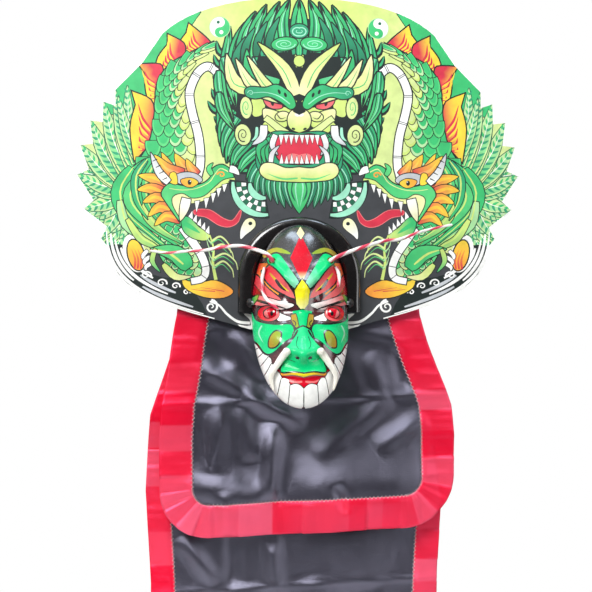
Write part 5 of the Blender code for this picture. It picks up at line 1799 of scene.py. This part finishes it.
def make_cloths():
    """Front cloth in one piece across its fold; rear cloth in an upper and a lower piece."""
    front = fold_place("head_and_panel", "front_flap", FRONT_CLOTH_Y, FRONT_FOLD_Z)
    upper = fold_place("head_and_panel", "rear_cloth", REAR_CLOTH_Y, REAR_TOP_Z)
    tail = fold_place("rear_cloth", "rear_tail", REAR_CLOTH_Y, REAR_FOLD_Z)
    front_shape = (FRONT_OUTER, FRONT_BORDER, FRONT_BOTTOM)
    rear_shape = (REAR_OUTER, REAR_BORDER, REAR_BOTTOM)
    front_way, rear_way = (front_y, front_hang), (rear_y, rear_hang)
    parts = (
        ("front", (*front_shape, RAIL_HIGH, FRONT_BOTTOM, *front_way), front,
         ("front_cloth_upper", "front_cloth_flap"),
         ("front_border_upper_left", "front_border_upper_right", "front_border_flap")),
        ("rear_upper", (*rear_shape, RAIL_HIGH, REAR_SPLIT_Z, *rear_way), upper,
         ("rear_cloth_header", "rear_cloth_upper"), ("rear_border_upper_left", "rear_border_upper_right")),
        ("rear_tail", (*rear_shape, REAR_SPLIT_Z, REAR_BOTTOM, *rear_way), tail,
         ("rear_cloth_tail",), ("rear_border_tail",)),
    )
    for name, shape, place, cloth_nodes, border_nodes in parts:
        cloth = sheet_mesh(f"{name}_black_satin", [centre_rows(*shape)])
        add_cloth(cloth.name, cloth, "black_satin", 0.7, cloth_nodes)
        ribbons, ribbon_sheen_paint = ribbon_rows(*shape)
        # the ribbon mesh carries the painted sheen of its facets as point colours
        border = sheet_mesh(f"{name}_red_ribbon", ribbons, ribbon_sheen_paint)
        add_cloth(border.name, border, "red_satin", 0.8, border_nodes)
        add_stitches(f"{name}_stitches", stitch_path(ribbons))


# Stage


VIEW_CENTRE_X, VIEW_CENTRE_Z, VIEW_SPAN = -4, 5, 770
CAMERA_DISTANCE, CAMERA_SIDE_DEG = 1900, 3
FLOOR_DROP, FLOOR_HALF = 20, 600


SURROUND_LOW, SURROUND_HIGH = 0.1, 1.0
LIGHTS = (
    ("key_light", (-800, -1300, 1000), (900, 700), 33, (1, 1, 1)),
    ("window_light", (-260, -250, 1300), (700, 320), 5, (0.7, 0.84, 1)),
    ("second_window_light", (420, -300, 1250), (440, 260), 3, (0.7, 0.84, 1)),
    ("fill_light", (1500, -900, 200), (900, 1200), 10, (1, 1, 1)),
    ("low_light", (300, -900, -1300), (1000, 500), 6, (1, 1, 1)),
    ("back_light", (-300, 1500, 700), (1100, 900), 16, (1, 1, 1)),
)


def add_aimed(name, data, place, target):
    """A lamp or camera at a place, which looks at a target."""
    obj = bpy.data.objects.new(name, data)
    obj.location = place
    obj.rotation_euler = (target - obj.location).to_track_quat("-Z", "Y").to_euler()
    bpy.context.scene.collection.objects.link(obj)
    return obj


def make_stage():
    """A pale floor under the cloth, a white surround and soft lights."""
    height = (CAD_BOX[0][2] - DATUM.z) / MM - FLOOR_DROP
    corners = [(x * FLOOR_HALF, y * FLOOR_HALF, height) for x, y in ((-1, -1), (1, -1), (1, 1), (-1, 1))]
    floor = bpy.data.objects.new("floor", mesh_from("floor", [at(*c) for c in corners], [(0, 1, 2, 3)]))
    floor.data.materials.append(MATERIALS["floor"])
    bpy.context.scene.collection.objects.link(floor)
    light_surround()
    for name, place, size, power, colour in LIGHTS:
        lamp = bpy.data.lights.new(name, "AREA")
        lamp.shape = "RECTANGLE"
        lamp.size, lamp.size_y = size[0] * MM, size[1] * MM
        lamp.energy, lamp.color = power, colour
        add_aimed(name, lamp, at(*place), at(0, -20, 40))


def light_surround():
    """White to the camera; as a light it is brighter from above and the left, so satin shows its folds."""
    world = bpy.data.worlds.new("soft_surround")
    world.use_nodes = True
    bpy.context.scene.world = world
    background = world.node_tree.nodes["Background"]
    background.inputs["Color"].default_value = (1, 1, 1, 1)
    place = shader_node(world, "ShaderNodeTexCoord").outputs["Generated"]
    values = {0: place, 1: (-0.45, -0.1, 0.9)}
    slope = shader_node(world, "ShaderNodeVectorMath", values, operation="DOT_PRODUCT").outputs["Value"]
    values = {"Value": slope, "From Min": 0.2, "From Max": 0.95, "To Min": SURROUND_LOW,
              "To Max": SURROUND_HIGH}
    strength = shader_node(world, "ShaderNodeMapRange", values,
                           interpolation_type="SMOOTHSTEP").outputs["Result"]
    seen = shader_node(world, "ShaderNodeLightPath").outputs["Is Camera Ray"]
    shown = shader_node(world, "ShaderNodeMix", {"Factor": seen, "A": strength, "B": 1.0}).outputs["Result"]
    world.node_tree.links.new(shown, background.inputs["Strength"])


def make_camera():
    """A long lens at the front, a little to the left."""
    lens = bpy.data.cameras.new("front_camera")
    lens.angle = 2 * math.atan(VIEW_SPAN / 2 / CAMERA_DISTANCE)
    lens.clip_start, lens.clip_end = 0.05, 20
    turn = math.radians(CAMERA_SIDE_DEG)
    target = at(VIEW_CENTRE_X, 0, VIEW_CENTRE_Z)
    place = target + Vector((-math.sin(turn), -math.cos(turn), 0)) * CAMERA_DISTANCE * MM
    bpy.context.scene.camera = add_aimed("front_camera", lens, place, target)
    bpy.context.scene.view_settings.view_transform = "Standard"


make_crest()
make_collar()
make_head()
make_eyes()
make_tusks()
make_whiskers()
make_jaw()
finish_frame_parts()
make_cloths()
make_stage()
make_camera()
